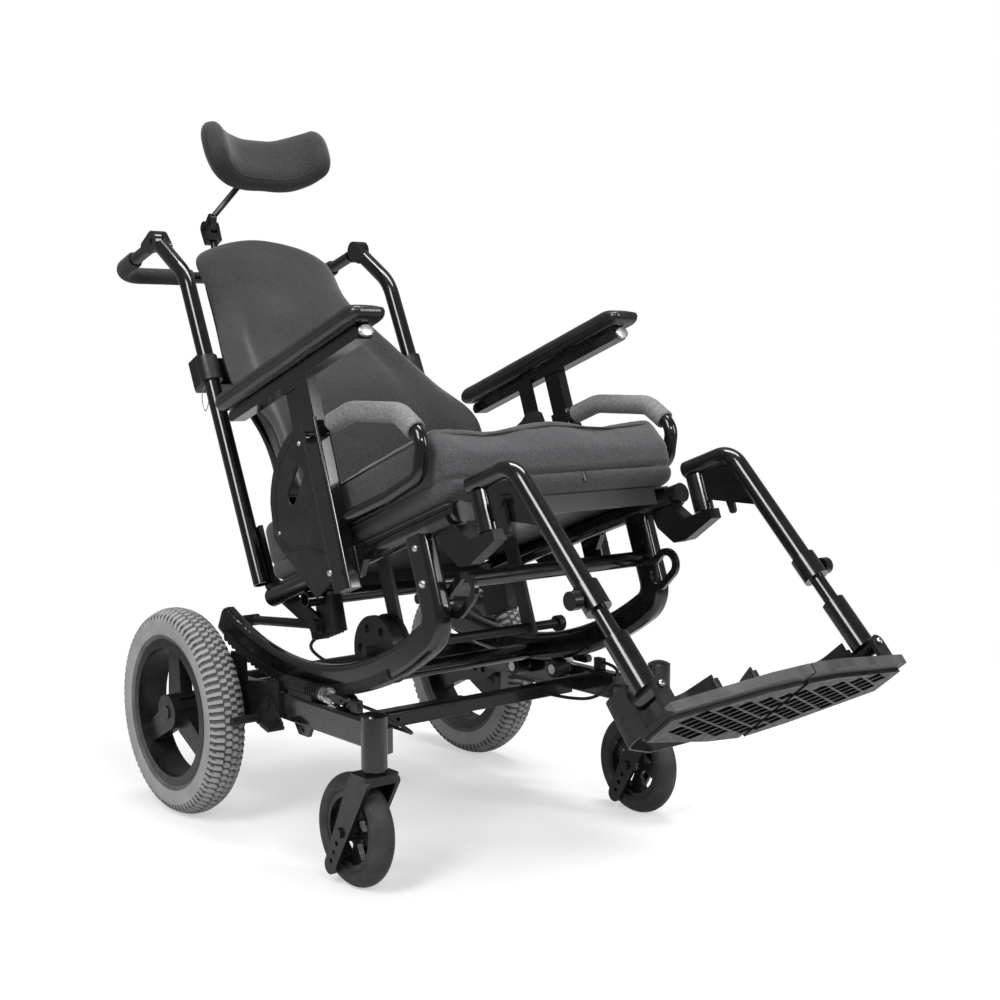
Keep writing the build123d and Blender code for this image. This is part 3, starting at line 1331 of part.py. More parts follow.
plate_top = -hinge_height
plate_inner = 1.5
with BuildPart() as footplate:
    with BuildSketch(level(foot_side, 0, plate_top)) as plate_outline:
        with BuildLine():
            x_out = -pin_x - 12
            Polyline((x_out, -24), (x_out, 30), (-70, 72), (-plate_inner, 86), (-plate_inner, -52),
                     (-60, -48), close=True)
        make_face()
    extrude(amount=-footplate_thickness)
    # grid of diamonds under the plate
    with BuildSketch(level(foot_side, 0, plate_top - footplate_thickness)):
        with BuildLine():
            Polyline((x_out + 2, -20), (x_out + 2, 28), (-70, 69), (-plate_inner - 3, 82),
                     (-plate_inner - 3, -44),
                     (-60, -42), close=True)
        make_face()
        for row in range(-4, 6):
            for column in range(10):
                across = -plate_inner - 12 - column * diamond_width
                along = row * diamond_length + (diamond_length / 2 if column % 2 else 0)
                nearest_edge = min(82 + 0.21 * across, 69 + 0.31 * (across + 70)) - 8
                if -34 < along - 4 and along + 6 < nearest_edge:
                    with Locations((across, along)):
                        Polygon((-diamond_width + 2, 0), (0, -diamond_length / 2 + 2),
                                (diamond_width - 2, 0),
                                (0, diamond_length / 2 - 2), align=None, mode=Mode.SUBTRACT)
    extrude(amount=-4)
    # raised lip at the front edge
    lip = footplate_thickness + 4
    with BuildSketch(level(foot_side, 0, plate_top + 4)):
        with BuildLine():
            Polyline((x_out, -23), (-60, -47), (-plate_inner, -51), (-plate_inner, -64), (-60, -60),
                     (x_out, -34), close=True)
        make_face()
    extrude(amount=-lip)
    # ears at both ends of the hinge barrel, and the pin
    for d in (-hinge_barrel / 2 - move_gap - ear_thickness, hinge_barrel / 2 + move_gap):
        with BuildSketch(facing(foot_side, d + ear_thickness, 0)):
            with Locations((-pin_x, 0)):
                Circle(10)
            with Locations((-pin_x, plate_top)):
                Rectangle(22, 8)
            make_hull()
        extrude(amount=-ear_thickness)
    add(straight_tube(point(foot_side, -pin_x, -hinge_barrel / 2 - 8, 0),
                      point(foot_side, -pin_x, hinge_barrel / 2 + 8, 0),
                      2 * hinge_pin_radius))
keep_pair("footplate", footplate)

band_height = 58.0
with BuildPart() as heel_loop:
    with BuildLine(level(foot_side, 0, plate_top + 1)) as band_route:
        FilletPolyline((-pin_x, 27), (-pin_x, 70), (-132, 98), (-52, 92), (-34, 46), radius=[20, 28, 24])
    with BuildSketch(Plane(origin=band_route.line @ 0, x_dir=foot_side(0).y_dir,
                           z_dir=band_route.line % 0)):
        with Locations((band_height / 2, 0)):
            Rectangle(band_height, 2.5)
    sweep(path=band_route.line)
    # inner post
    with BuildSketch(level(foot_side, 0, plate_top + seat_gap)):
        with Locations((-34, 46)):
            Circle(5)
    extrude(amount=band_height - 6)
    # strap end behind the rear ear
    with BuildSketch(level(foot_side, 0, plate_top + seat_gap)):
        with Locations((-pin_x, 28.5)):
            Rectangle(12, 5)
    extrude(amount=48)
keep_pair("heel_loop", heel_loop)

# ================================================================ cables
cable_diameter = 5.0


def cable_bends(points):
    """A bend at each corner that takes 0.45 of the shorter run beside it."""
    bends = []
    for a, b, c in zip(points, points[1:], points[2:]):
        first = Vector(*b) - Vector(*a)
        second = Vector(*c) - Vector(*b)
        half_turn = radians(first.get_angle(second)) / 2
        bends.append(0.45 * min(first.length, second.length) / tan(half_turn))
    return bends


lock_cable_points = [point(base_side, -lock_x, 177, lock_z), point(base_side, -lock_x, 234, lock_z),
                     point(base_side, -168, 234, rail_top - 27),
                     point(base_side, -150, 182, front_cross_z),
                     point(base_side, -150, 126.1, front_cross_z)]
lock_cable_bends = cable_bends(lock_cable_points)
with BuildPart() as lock_cables:
    with BuildLine() as lock_route:
        FilletPolyline(*lock_cable_points, radius=lock_cable_bends)
    with BuildSketch(Plane(origin=lock_route.line @ 0, z_dir=lock_route.line % 0)):
        Circle(cable_diameter / 2)
    sweep(path=lock_route.line)
    # stop on the rail
    with BuildSketch(base_side(-lock_x - 5)):
        with BuildLine():
            Polyline((166, rail_top + seat_gap), (184, rail_top + seat_gap), (184, lock_z + 6),
                     (166, lock_z + 6), close=True)
        make_face()
    extrude(amount=-10)
    mirror(about=Plane.YZ)
keep("lock_cables", lock_cables)

release_h = pivot_h - 11
plate_rear = shaft_s - 13 - 0.5
release_points = [point(seat_side, -brace_x, -172.1, release_h),
                  point(seat_side, -brace_x, -232, release_h),
                  point(seat_side, -hanger_plate_x, -240, shaft_h + 16),
                  point(seat_side, -hanger_plate_x, -182, shaft_h + 4),
                  point(seat_side, -hanger_plate_x, -115, shaft_h + 3.5),
                  point(seat_side, -hanger_plate_x, plate_rear, shaft_h + 12)]
release_bends = cable_bends(release_points)
with BuildPart() as release_cable:
    with BuildLine() as release_route:
        FilletPolyline(*release_points, radius=release_bends)
    with BuildSketch(Plane(origin=release_route.line @ 0, z_dir=release_route.line % 0)):
        Circle(cable_diameter / 2)
    sweep(path=release_route.line)
keep("release_cable", release_cable)
print("lock cable bends", [round(r, 1) for r in lock_cable_bends])
print("release cable bends", [round(r, 1) for r in release_bends])
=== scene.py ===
"""Looks for the tilt in space wheelchair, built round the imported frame. Sizes are in metres.

Side views use the same coordinates as the solids: s forward and h up in the seat's leaning plane,
t up and off forward in the back's, and u along the footplate and v away from it.
"""
from math import cos, pi, radians, sin, sqrt

import bmesh
import bpy
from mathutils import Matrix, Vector, noise


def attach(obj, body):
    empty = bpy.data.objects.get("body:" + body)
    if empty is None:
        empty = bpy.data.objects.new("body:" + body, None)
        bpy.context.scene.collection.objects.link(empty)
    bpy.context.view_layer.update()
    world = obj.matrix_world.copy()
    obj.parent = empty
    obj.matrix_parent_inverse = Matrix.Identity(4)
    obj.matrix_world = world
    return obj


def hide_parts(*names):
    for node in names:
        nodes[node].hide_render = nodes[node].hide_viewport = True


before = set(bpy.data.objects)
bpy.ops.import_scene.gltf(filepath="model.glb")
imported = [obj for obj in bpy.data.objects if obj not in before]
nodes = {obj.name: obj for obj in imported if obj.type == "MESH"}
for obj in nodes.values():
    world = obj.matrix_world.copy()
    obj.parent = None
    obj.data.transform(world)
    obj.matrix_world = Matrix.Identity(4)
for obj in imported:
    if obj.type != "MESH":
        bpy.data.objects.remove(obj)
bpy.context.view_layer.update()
SIDES = (("right", -1), ("left", 1))   # each half's name and the sign of its x

# ------------------------ where the chair's planes are
TILT_CENTRE = Vector((0, 0.08396, 0.755))
SEAT_LEAN = radians(20)
BACK_FOOT = Vector((0, 0.2008, 0.3538))
BACK_LEAN = radians(25.3)
FLIP_HINGE = Vector((0, -0.6112, 0.3298))
FOOT_LEAN = radians(40)


def leaning(origin, lean, x, forward, up):
    """A point of a side plane that leans back."""
    return Vector((x, origin.y - forward * cos(lean) + up * sin(lean),
                   origin.z + forward * sin(lean) + up * cos(lean)))


def seat(x, s, h):
    return leaning(TILT_CENTRE, SEAT_LEAN, x, s, h)


def back(x, t, off):
    return leaning(BACK_FOOT, BACK_LEAN, x, off, t)


def foot(x, u, v):
    return leaning(FLIP_HINGE, FOOT_LEAN, x, u, v)


def base(x, s, z):
    return Vector((x, TILT_CENTRE.y - s, z))


# ------------------------ materials
class Finish:
    """A procedural material: a Principled shader fed by noise in the object's own coordinates."""

    def __init__(self, name, roughness, metallic=0.0, coat=0.0, coat_roughness=0.08, sheen=0.0,
                 specular=0.5):
        self.material = bpy.data.materials.new(name)
        self.material.use_nodes = True
        self.tree = self.material.node_tree
        self.shader = self.tree.nodes["Principled BSDF"]
        self.place = self.tree.nodes.new("ShaderNodeTexCoord").outputs["Object"]
        self.shader.inputs["Roughness"].default_value = roughness
        self.shader.inputs["Metallic"].default_value = metallic
        self.shader.inputs["Coat Weight"].default_value = coat
        self.shader.inputs["Coat Roughness"].default_value = coat_roughness
        self.shader.inputs["Sheen Weight"].default_value = sheen
        self.shader.inputs["Sheen Roughness"].default_value = 0.4
        self.shader.inputs["Specular IOR Level"].default_value = specular

    def placed(self, stretch):
        """The object's own coordinates, scaled by stretch if there is one."""
        if not stretch:
            return self.place
        mapping = self.tree.nodes.new("ShaderNodeMapping")
        mapping.inputs["Scale"].default_value = stretch
        self.tree.links.new(self.place, mapping.inputs["Vector"])
        return mapping.outputs["Vector"]

    def noise(self, scale, detail=3.0, stretch=None):
        texture = self.tree.nodes.new("ShaderNodeTexNoise")
        texture.inputs["Scale"].default_value = scale
        texture.inputs["Detail"].default_value = detail
        self.tree.links.new(self.placed(stretch), texture.inputs["Vector"])
        return texture.outputs["Fac"]

    def cells(self, scale, feature="F1", stretch=None):
        texture = self.tree.nodes.new("ShaderNodeTexVoronoi")
        texture.feature = feature
        texture.inputs["Scale"].default_value = scale
        self.tree.links.new(self.placed(stretch), texture.inputs["Vector"])
        return texture.outputs["Distance"]

    def between(self, value, low, high, at=(0.35, 0.65)):
        """A colour or number that goes from low to high as value crosses at."""
        ramp = self.tree.nodes.new("ShaderNodeValToRGB")
        first, last = ramp.color_ramp.elements
        first.position, last.position = at
        first.color = (*low, 1) if hasattr(low, "__len__") else (low, low, low, 1)
        last.color = (*high, 1) if hasattr(high, "__len__") else (high, high, high, 1)
        self.tree.links.new(value, ramp.inputs["Fac"])
        return ramp.outputs["Color"]

    def colour(self, value, low, high, at=(0.35, 0.65)):
        self.tree.links.new(self.between(value, low, high, at), self.shader.inputs["Base Color"])
        return self

    def rough(self, value, low, high, at=(0.35, 0.65)):
        self.tree.links.new(self.between(value, low, high, at), self.shader.inputs["Roughness"])
        return self

    def bump(self, value, depth, strength=1.0):
        """Relief of that depth in metres. A second call adds to the first."""
        node = self.tree.nodes.new("ShaderNodeBump")
        node.inputs["Distance"].default_value = depth
        node.inputs["Strength"].default_value = strength
        self.tree.links.new(value, node.inputs["Height"])
        before = self.shader.inputs["Normal"].links
        if before:
            self.tree.links.new(before[0].from_socket, node.inputs["Normal"])
        self.tree.links.new(node.outputs["Normal"], self.shader.inputs["Normal"])
        return self


def powder_coat(name, low, high, roughness, coat=1.0):
    f = Finish(name, roughness, coat=coat, coat_roughness=0.1, specular=0.2)
    f.colour(f.noise(9, 4), low, high)
    f.rough(f.noise(60, 3), roughness - 0.05, roughness + 0.08)
    return f.bump(f.noise(700, 2), 0.00003, 0.35)


def brushed(name, low, high, roughness, stretch=(1, 30, 30)):
    f = Finish(name, roughness, metallic=1.0)
    f.colour(f.noise(25, 4), low, high)
    f.rough(f.noise(90, 4, stretch), roughness - 0.08, roughness + 0.12)
    return f.bump(f.noise(260, 3, stretch), 0.00003, 0.4)


def moulded(name, low, high, roughness, grain=1400):
    f = Finish(name, roughness, specular=0.4)
    f.colour(f.noise(30, 4), low, high)
    f.rough(f.noise(120, 3), roughness - 0.07, roughness + 0.09)
    return f.bump(f.noise(grain, 3), 0.00008, 0.5)


def rubber(name, low, high, roughness, relief=0.00018):
    f = Finish(name, roughness, specular=0.3)
    f.colour(f.noise(34, 6), low, high)
    f.rough(f.noise(110, 4), roughness - 0.1, roughness + 0.08)
    f.bump(f.noise(420, 4), relief, 0.6)
    return f.bump(f.noise(60, 3), 0.0003, 0.25)


def knit(name, low, high):
    """Stretch knit over foam: small loops, soft worn patches and sheen."""
    f = Finish(name, 0.86, sheen=0.35, specular=0.2)
    stitches = f.cells(640, stretch=(1.0, 1.25, 0.8))
    f.colour(stitches, high, low, at=(0.1, 0.75))
    f.rough(f.noise(14, 4), 0.8, 0.94)
    f.bump(stitches, 0.0004, 0.55)
    return f.bump(f.noise(26, 4), 0.0012, 0.22)


def grained_vinyl(name, low, high, roughness):
    f = Finish(name, roughness, coat=0.35, coat_roughness=0.18, specular=0.5)
    f.colour(f.noise(18, 5), low, high)
    f.rough(f.noise(70, 4), roughness - 0.08, roughness + 0.1)
    f.bump(f.cells(520, "DISTANCE_TO_EDGE"), 0.00016, 0.35)
    return f.bump(f.noise(18, 3), 0.0008, 0.2)


def closed_foam(name, low, high):
    f = Finish(name, 0.8, sheen=0.2, specular=0.25)
    f.colour(f.noise(240, 5), low, high)
    f.bump(f.cells(900), 0.0003, 0.5)
    return f.bump(f.noise(30, 3), 0.0008, 0.25)


BLACK = (0.003, 0.003, 0.0034)
finishes = {
    "black_paint": powder_coat("black_powder_coat", BLACK, (0.006, 0.006, 0.0068), 0.22),
    "satin_paint": powder_coat("satin_powder_coat", (0.005, 0.005, 0.0055), (0.01, 0.01, 0.011), 0.36,
                               0.5),
    # black paint set to a lighter grey: painted light standing in for light bounced from the floor
    # onto the pan's underside
    "bounce_lit_pan_paint": powder_coat("pan_coat_painted_bounce_light", (0.05, 0.05, 0.052), (0.066, 0.066, 0.068), 0.42, 0.3),
    "steel": brushed("zinc_steel", (0.45, 0.45, 0.46), (0.66, 0.66, 0.67), 0.3),
    "dark_steel": brushed("dark_steel", (0.05, 0.05, 0.055), (0.1, 0.1, 0.105), 0.34),
    "aluminium": brushed("satin_aluminium", (0.52, 0.52, 0.53), (0.68, 0.68, 0.69), 0.36, (30, 1, 1)),
    "dark_plastic": moulded("moulded_black", (0.008, 0.008, 0.0085), (0.015, 0.015, 0.016), 0.4),
    "guard_plastic": moulded("moulded_guard", (0.014, 0.015, 0.0145), (0.024, 0.025, 0.024), 0.48,
                             900),
    "rim_plastic": moulded("moulded_rim", (0.008, 0.008, 0.009), (0.016, 0.016, 0.017), 0.28),
    "grey_tyre": rubber("grey_tyre_rubber", (0.33, 0.33, 0.34), (0.4, 0.4, 0.41), 0.7),
    # darker rubber for the floors of the tread's gaps: painted shade, the tyre itself is one grey
    # rubber
    "painted_shade_tread_gap": rubber("painted_shade_gap_rubber", (0.1, 0.1, 0.104), (0.16, 0.16, 0.165), 0.8),
    "black_tyre": rubber("black_caster_rubber", (0.03, 0.03, 0.031), (0.052, 0.052, 0.054), 0.55,
                         0.00008),
    "foam": closed_foam("loop_foam", (0.155, 0.155, 0.16), (0.235, 0.235, 0.24)),
    "dark_foam": closed_foam("handle_foam", (0.026, 0.026, 0.027), (0.046, 0.046, 0.047)),
    "upholstery": knit("stretch_knit", (0.046, 0.046, 0.049), (0.105, 0.105, 0.11)),
    "back_knit": knit("back_stretch_knit", (0.024, 0.024, 0.0255), (0.056, 0.056, 0.059)),
    "vinyl": grained_vinyl("arm_vinyl", (0.01, 0.01, 0.011), (0.018, 0.018, 0.019), 0.24),
    "piping": grained_vinyl("piping_vinyl", (0.012, 0.012, 0.013), (0.02, 0.02, 0.021), 0.42),
    "cable_jacket": rubber("cable_jacket", (0.01, 0.01, 0.011), (0.018, 0.018, 0.019), 0.4, 0.00004),
    # lighter plastic for the footplate lip's faces that do not face down: painted light on the dark
    # plastic plate
    "painted_light_lip_plastic": moulded("painted_light_lip_plastic", (0.06, 0.06, 0.062), (0.1, 0.1, 0.103), 0.38),
}
finishes = {name: f.material for name, f in finishes.items()}

# ------------------------ the solids' materials
SOLID_FINISH = {
    "base_side_rails": "black_paint", "base_cross_tubes": "satin_paint", "axle_plates": "satin_paint",
    "rear_axles": "dark_steel", "roller_pins": "steel", "front_rollers": "dark_plastic",
    "rear_rollers": "dark_plastic", "tilt_lock_housings": "dark_plastic",
    "tilt_lock_plungers": "dark_steel",
    "rockers": "black_paint", "seat_rails": "black_paint", "seat_pan": "bounce_lit_pan_paint",
    "seat_cross_tubes": "black_paint", "hinge_blocks": "dark_plastic",
    "release_shaft": "dark_plastic",
    "arm_receivers": "black_paint", "grab_loops": "black_paint", "tie_down_loops": "black_paint",
    "hanger_brackets": "satin_paint", "back_canes": "black_paint", "back_plates": "satin_paint",
    "cane_clamps": "dark_plastic", "back_shell": "guard_plastic", "headrest_bracket": "dark_plastic",
    "push_handle": "black_paint", "headrest_post": "dark_steel", "headrest_rod": "dark_steel",
    "rear_rim": "rim_plastic", "caster_fork": "satin_paint", "caster_wheel": "rim_plastic",
    "wheel_lock": "dark_plastic", "armrest_frame": "black_paint", "side_guard": "guard_plastic",
    "hanger": "black_paint", "latch_lever": "dark_plastic", "footrest": "black_paint",
    "footplate": "dark_plastic", "heel_loop": "dark_plastic",
}


def stem_of(name):
    return name.removesuffix("_right").removesuffix("_left")


def shade(obj, material):
    obj.data.materials.clear()
    obj.data.materials.append(material)


for name, obj in nodes.items():
    if stem_of(name) in SOLID_FINISH:
        shade(obj, finishes[SOLID_FINISH[stem_of(name)]])


def second_finish(node, material, chosen):
    """Gives another material to the faces of a solid whose middles are chosen."""
    obj = nodes[node]
    obj.data.materials.append(material)
    slot = len(obj.data.materials) - 1
    for face in obj.data.polygons:
        if chosen(face.center, face.normal):
            face.material_index = slot


def from_axle(node):
    """Distance of a point of a wheel's solid from the axle along X through the middle of its box."""
    corners = [Vector(c) for c in nodes[node].bound_box]
    middle = sum(corners, Vector()) / 8
    return lambda p: sqrt((p.y - middle.y) ** 2 + (p.z - middle.z) ** 2)


def forward_of(p):
    return TILT_CENTRE.y - p.y


def in_foot(p):
    """Distances along the footplate and away from it."""
    run, climb = p.y - FLIP_HINGE.y, p.z - FLIP_HINGE.z
    return (climb * sin(FOOT_LEAN) - run * cos(FOOT_LEAN),
            run * sin(FOOT_LEAN) + climb * cos(FOOT_LEAN))


LIP_BEND_X = 0.06      # the lip's inner edge is straight up to here, then sweeps back
LIP_MIDDLE, LIP_RUN = 0.051, 0.068
LIP_BEND, LIP_SWEEP = 0.047, 0.169
LIP_MARGIN = 0.0004
# lip faces whose normal points further down than this keep the dark plastic; the others get the
# painted light
UNDERSIDE = -0.5


def lit_face_of_lip(p, normal):
    """Whether a face of the footplate belongs to the raised lip at its front edge and does not face
    down; these faces get a lighter plastic, painted light.
    """
    out = abs(p.x)
    inner = (LIP_MIDDLE - LIP_RUN * out if out < LIP_BEND_X
             else LIP_BEND - LIP_SWEEP * (out - LIP_BEND_X))
    away = normal.y * sin(FOOT_LEAN) + normal.z * cos(FOOT_LEAN)
    return in_foot(p)[0] > inner - LIP_MARGIN and away > UNDERSIDE


ROCKER_SIDE = 0.2077   # the racks stand outside this
CASTER_RIM = 0.0515    # the casters' tyres begin at this radius
LOCK_RINGS, RINGS_LENGTH = 0.0962, 0.0135
second_finish("rockers", finishes["dark_plastic"], lambda p, n: abs(p.x) > ROCKER_SIDE)
second_finish("tilt_lock_housings", finishes["steel"],
              lambda p, n: LOCK_RINGS < forward_of(p) < LOCK_RINGS + RINGS_LENGTH)
for side, _ in SIDES:
    distance = from_axle(f"caster_wheel_{side}")
    second_finish(f"caster_wheel_{side}", finishes["black_tyre"],
                  lambda p, n: distance(p) > CASTER_RIM)
    # the lip's faces that do not face down get the lighter plastic: painted light
    second_finish(f"footplate_{side}", finishes["painted_light_lip_plastic"], lit_face_of_lip)

# ------------------------ mesh helpers
def mesh_piece(name, points, faces, material, body):
    """A smooth mesh that rides on a body."""
    mesh = bpy.data.meshes.new(name)
    mesh.from_pydata([tuple(p) for p in points], [], faces)
    mesh.update()
    tidy = bmesh.new()
    tidy.from_mesh(mesh)
    bmesh.ops.recalc_face_normals(tidy, faces=tidy.faces)
    tidy.to_mesh(mesh)
    tidy.free()
    for face in mesh.polygons:
        face.use_smooth = True
    piece = bpy.data.objects.new(name, mesh)
    bpy.context.scene.collection.objects.link(piece)
    piece.data.materials.append(material)
    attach(piece, body)
    return piece


def grid_faces(rows, columns, wrap_rows=False, wrap_columns=False):
    """Quads between neighbouring points of a grid that is stored row by row."""
    faces = []
    for i in range(rows if wrap_rows else rows - 1):
        for j in range(columns if wrap_columns else columns - 1):
            a, b = i * columns + j, i * columns + (j + 1) % columns
            c, d = ((i + 1) % rows) * columns + (j + 1) % columns, ((i + 1) % rows) * columns + j
            faces.append((a, b, c, d))
    return faces


def loft(name, rings, material, body):
    """A closed form through rings of equally many points."""
    columns = len(rings[0])
    points = [p for ring in rings for p in ring]
    faces = grid_faces(len(rings), columns, wrap_columns=True)
    for ring, first in ((rings[0], 0), (rings[-1], (len(rings) - 1) * columns)):
        points.append(sum((Vector(p) for p in ring), Vector()) / columns)
        middle = len(points) - 1
        faces += [(first + j, first + (j + 1) % columns, middle) for j in range(columns)]
    return mesh_piece(name, points, faces, material, body)


def ring_of(centre, side, up, radius, count):
    turns = (2 * pi * k / count for k in range(count))
    return [centre + side * (radius * cos(turn)) + up * (radius * sin(turn)) for turn in turns]


def tube(name, path, radius, material, body, count=16, rounded=0.0, closed=False):
    """A round tube along a path, with ends that round off over a length, or a closed loop."""
    path = [Vector(p) for p in path]
    total = len(path)
    rings = []
    side = None
    for i, here in enumerate(path):
        ahead = path[(i + 1) % total] if closed or i + 1 < total else here
        behind = path[i - 1] if closed or i else here
        along = (ahead - behind).normalized()
        if side is None:
            side = along.orthogonal().normalized()
        side = (side - along * side.dot(along)).normalized()
        rings.append((here, side, along.cross(side), along))
    loops = [ring_of(here, s, u, radius, count) for here, s, u, along in rings]
    if closed:
        points = [p for loop in loops for p in loop]
        first, last = loops[0], loops[-1]
        turn = min(range(count), key=lambda k: (last[k] - first[0]).length)
        faces = grid_faces(total, count, wrap_columns=True)
        start = (total - 1) * count
        faces += [(start + (j + turn) % count, start + (j + turn + 1) % count, (j + 1) % count, j)
                  for j in range(count)]
        return mesh_piece(name, points, faces, material, body)
    if rounded:
        steps = 4
        for end in (0, -1):
            here, s, u, along = rings[end]
            out = -along if end == 0 else along
            extra = [ring_of(here + out * (rounded * sin(pi / 2 * k / steps)), s, u,
                             radius - rounded * (1 - cos(pi / 2 * k / steps)), count)
                     for k in range(1, steps + 1)]
            loops = list(reversed(extra)) + loops if end == 0 else loops + extra
    return loft(name, loops, material, body)


def arcs(points, radii, step=0.004):
    """A rigid tube's centre line: straight runs joined by arcs, as its solid has."""
    points = [Vector(p) for p in points]
    route = [points[0]]
    for before, corner, after, radius in zip(points, points[1:], points[2:], radii):
        first, second = (before - corner).normalized(), (after - corner).normalized()
        half = first.angle(second) / 2
        reach = radius / (sin(half) / cos(half))
        start, end = corner + first * reach, corner + second * reach
        centre = corner + (first + second).normalized() * (radius / sin(half))
        sweep = pi - 2 * half
        count = max(4, int(radius * sweep / step))
        a, b = start - centre, end - centre
        for k in range(count + 1):
            f = k / count
            route.append(centre + (a * sin((1 - f) * sweep) + b * sin(f * sweep)) / sin(sweep))
    route.append(points[-1])
    spaced = [route[0]]
    for p in route[1:]:
        gap = (p - spaced[-1]).length
        for k in range(1, max(1, int(gap / (2 * step))) + 1):
            spaced.append(spaced[-1].lerp(p, 1 / (max(1, int(gap / (2 * step))) - k + 1)))
    return spaced


def sharpen(piece, angle=0.6):
    """Shades a mesh smooth but keeps edges sharper than the angle."""
    mesh = piece.data
    work = bmesh.new()
    work.from_mesh(mesh)
    for edge in work.edges:
        edge.smooth = edge.calc_face_angle(0) < angle
    work.to_mesh(mesh)
    work.free()


def socket_screw(name, centre, axis, radius, body):
    """A button head screw with a hexagonal socket."""
    axis = Vector(axis).normalized()
    height = radius * 0.62
    side = axis.orthogonal().normalized()
    up = axis.cross(side)
    centre = Vector(centre)
    profile = [(-0.0004, radius * 0.98), (0.0, radius), (height * 0.35, radius * 0.97),
               (height * 0.75, radius * 0.8), (height, radius * 0.52)]
    rings = [ring_of(centre + axis * along, side, up, r, 18) for along, r in profile]
    socket = radius * 0.46
    turns = (pi / 3 * (k // 3) for k in range(18))
    hexagon = [centre + side * (socket * cos(turn)) + up * (socket * sin(turn)) for turn in turns]
    rings.append([p + axis * height for p in hexagon])
    rings.append([p + axis * (height * 0.35) for p in hexagon])
    piece = loft(name, rings, finishes["steel"], body)
    sharpen(piece)


# ------------------------ soft pieces
def rounded_block(counts, half, radii):
    """Quads of a block with rounded edges, as (points, faces); half and radii are per axis."""
    def stops(count, size, radius):
        arc = 5
        flat = max(2, count)
        inner = size - radius
        line = [-size + radius * (1 - cos(pi / 2 * k / arc)) for k in range(arc)]
        line += [-inner + 2 * inner * k / flat for k in range(flat + 1)]
        line += [size - radius * (1 - cos(pi / 2 * (arc - 1 - k) / arc)) for k in range(arc)]
        return line

    lines = [stops(c, s, r) for c, s, r in zip(counts, half, radii)]
    seen, points, faces = {}, [], []

    def corner(i, j, k):
        key = (i, j, k)
        if key not in seen:
            raw = [lines[a][n] for a, n in enumerate(key)]
            inner = [max(-(s - r), min(s - r, v)) for v, s, r in zip(raw, half, radii)]
            away = [(v - n) / r for v, n, r in zip(raw, inner, radii)]
            length = sqrt(sum(a * a for a in away)) or 1.0
            points.append([n + a / length * r if length > 1e-9 and any(away) else v
                           for v, n, a, r in zip(raw, inner, away, radii)])
            seen[key] = len(points) - 1
        return seen[key]

    last = [len(line) - 1 for line in lines]
    for axis in range(3):
        a, b = (axis + 1) % 3, (axis + 2) % 3
        for end in (0, last[axis]):
            for i in range(last[a]):
                for j in range(last[b]):
                    quad = []
                    for di, dj in ((0, 0), (1, 0), (1, 1), (0, 1)):
                        key = [0, 0, 0]
                        key[axis], key[a], key[b] = end, i + di, j + dj
                        quad.append(corner(*key))
                    faces.append(tuple(quad))
    return points, faces


def smooth_step(value, low, high):
    """0 up to low, 1 from high, and smooth between."""
    f = min(1.0, max(0.0, (value - low) / (high - low)))
    return f * f * (3 - 2 * f)


def bell(value, centre, width):
    """1 at the centre, falling off smoothly over the width."""
    return 2.718 ** (-((value - centre) / width) ** 2)


def squared(wave, power):
    """A sine or cosine drawn towards -1 and 1, which squares off the round that it draws."""
    return (1 if wave > 0 else -1) * abs(wave) ** power


def wrinkle(point, size, depth):
    """Soft unevenness of cloth, with folds of that size and depth."""
    return depth * noise.noise(Vector(point) / size)


# ------------------------ seat cushion
CUSHION_X = 0.205
CUSHION_S = (-0.205, 0.258)
CUSHION_H = (-0.3454, -0.25)
FRONT = CUSHION_S[1]
FRONT_SEAM_H = -0.318
SEAM_DEPTH, SEAM_WIDTH = 0.0035, 0.0035
WAIST = 0.016          # share of the width that the sides draw in at their middle
BELLY, BELLY_RUN = 0.006, 0.05
NOSE, NOSE_RUN = 0.016, 0.03
SIDE_INSET, END_INSET = 0.001, 0.003
TROUGH, TROUGH_SHARE = 0.0085, 0.6
CROWN = 0.008
WELL, WELL_S, WELL_LENGTH = 0.014, -0.09, 0.11
SINK = 0.004
SQUARENESS = 0.16
half_length = (CUSHION_S[1] - CUSHION_S[0]) / 2
mid_s = sum(CUSHION_S) / 2
half_height = (CUSHION_H[1] - CUSHION_H[0]) / 2 - 0.001
mid_h = sum(CUSHION_H) / 2


def cushion_rise(x, s):
    """How far the top stands above its flat height: thigh troughs, a middle ridge and a seat well."""
    across = x / CUSHION_X
    wave = TROUGH * cos(2 * pi * across * 1.02) * smooth_step(s, -0.08, 0.16)
    crowned = CROWN * (1 - abs(across) ** 6)
    well = -WELL * bell(s, WELL_S, WELL_LENGTH) * (1 - abs(across) ** 3)
    return wave * TROUGH_SHARE + crowned + well - SINK


def cushion_point(x, s, h):
    """Puts a point of the plain block on the finished cushion."""
    up = (h - mid_h) / half_height
    top = smooth_step(up, -0.2, 1.0)
    drawn = 1 - WAIST * cos(pi / 2 * min(1, abs(s - mid_s) / half_length)) * (1 - up * up)
    inward = SEAM_DEPTH * bell(h, FRONT_SEAM_H, SEAM_WIDTH)
    x = x * drawn - (inward if x > 0 else -inward) * smooth_step(abs(x), 0.17, 0.2)
    belly = BELLY * (1 - up * up) - inward
    s = s + belly * smooth_step(s, FRONT - BELLY_RUN, FRONT) - 0.004
    if s > mid_s:
        s -= NOSE * smooth_step(up, 0.1, 1.0) * smooth_step(s, FRONT - NOSE_RUN, FRONT)
    h = h + cushion_rise(x, s) * top
    fold = wrinkle((x, s, h * 2), 0.05, 0.0016) + wrinkle((x, s, h), 0.018, 0.0006)
    h += fold * top
    return x, s + fold * (0.6 if s > FRONT - NOSE_RUN else 0.0), h


half_block = (CUSHION_X - SIDE_INSET, half_length - END_INSET, half_height)
points, faces = rounded_block((72, 72, 26), half_block, (0.018, 0.02, 0.017))
placed = [seat(*cushion_point(px, ps + mid_s, ph + mid_h)) for px, ps, ph in points]
seat_cushion = mesh_piece("seat_cushion_cover", placed, faces, finishes["upholstery"], "seat")
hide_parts("seat_cushion")


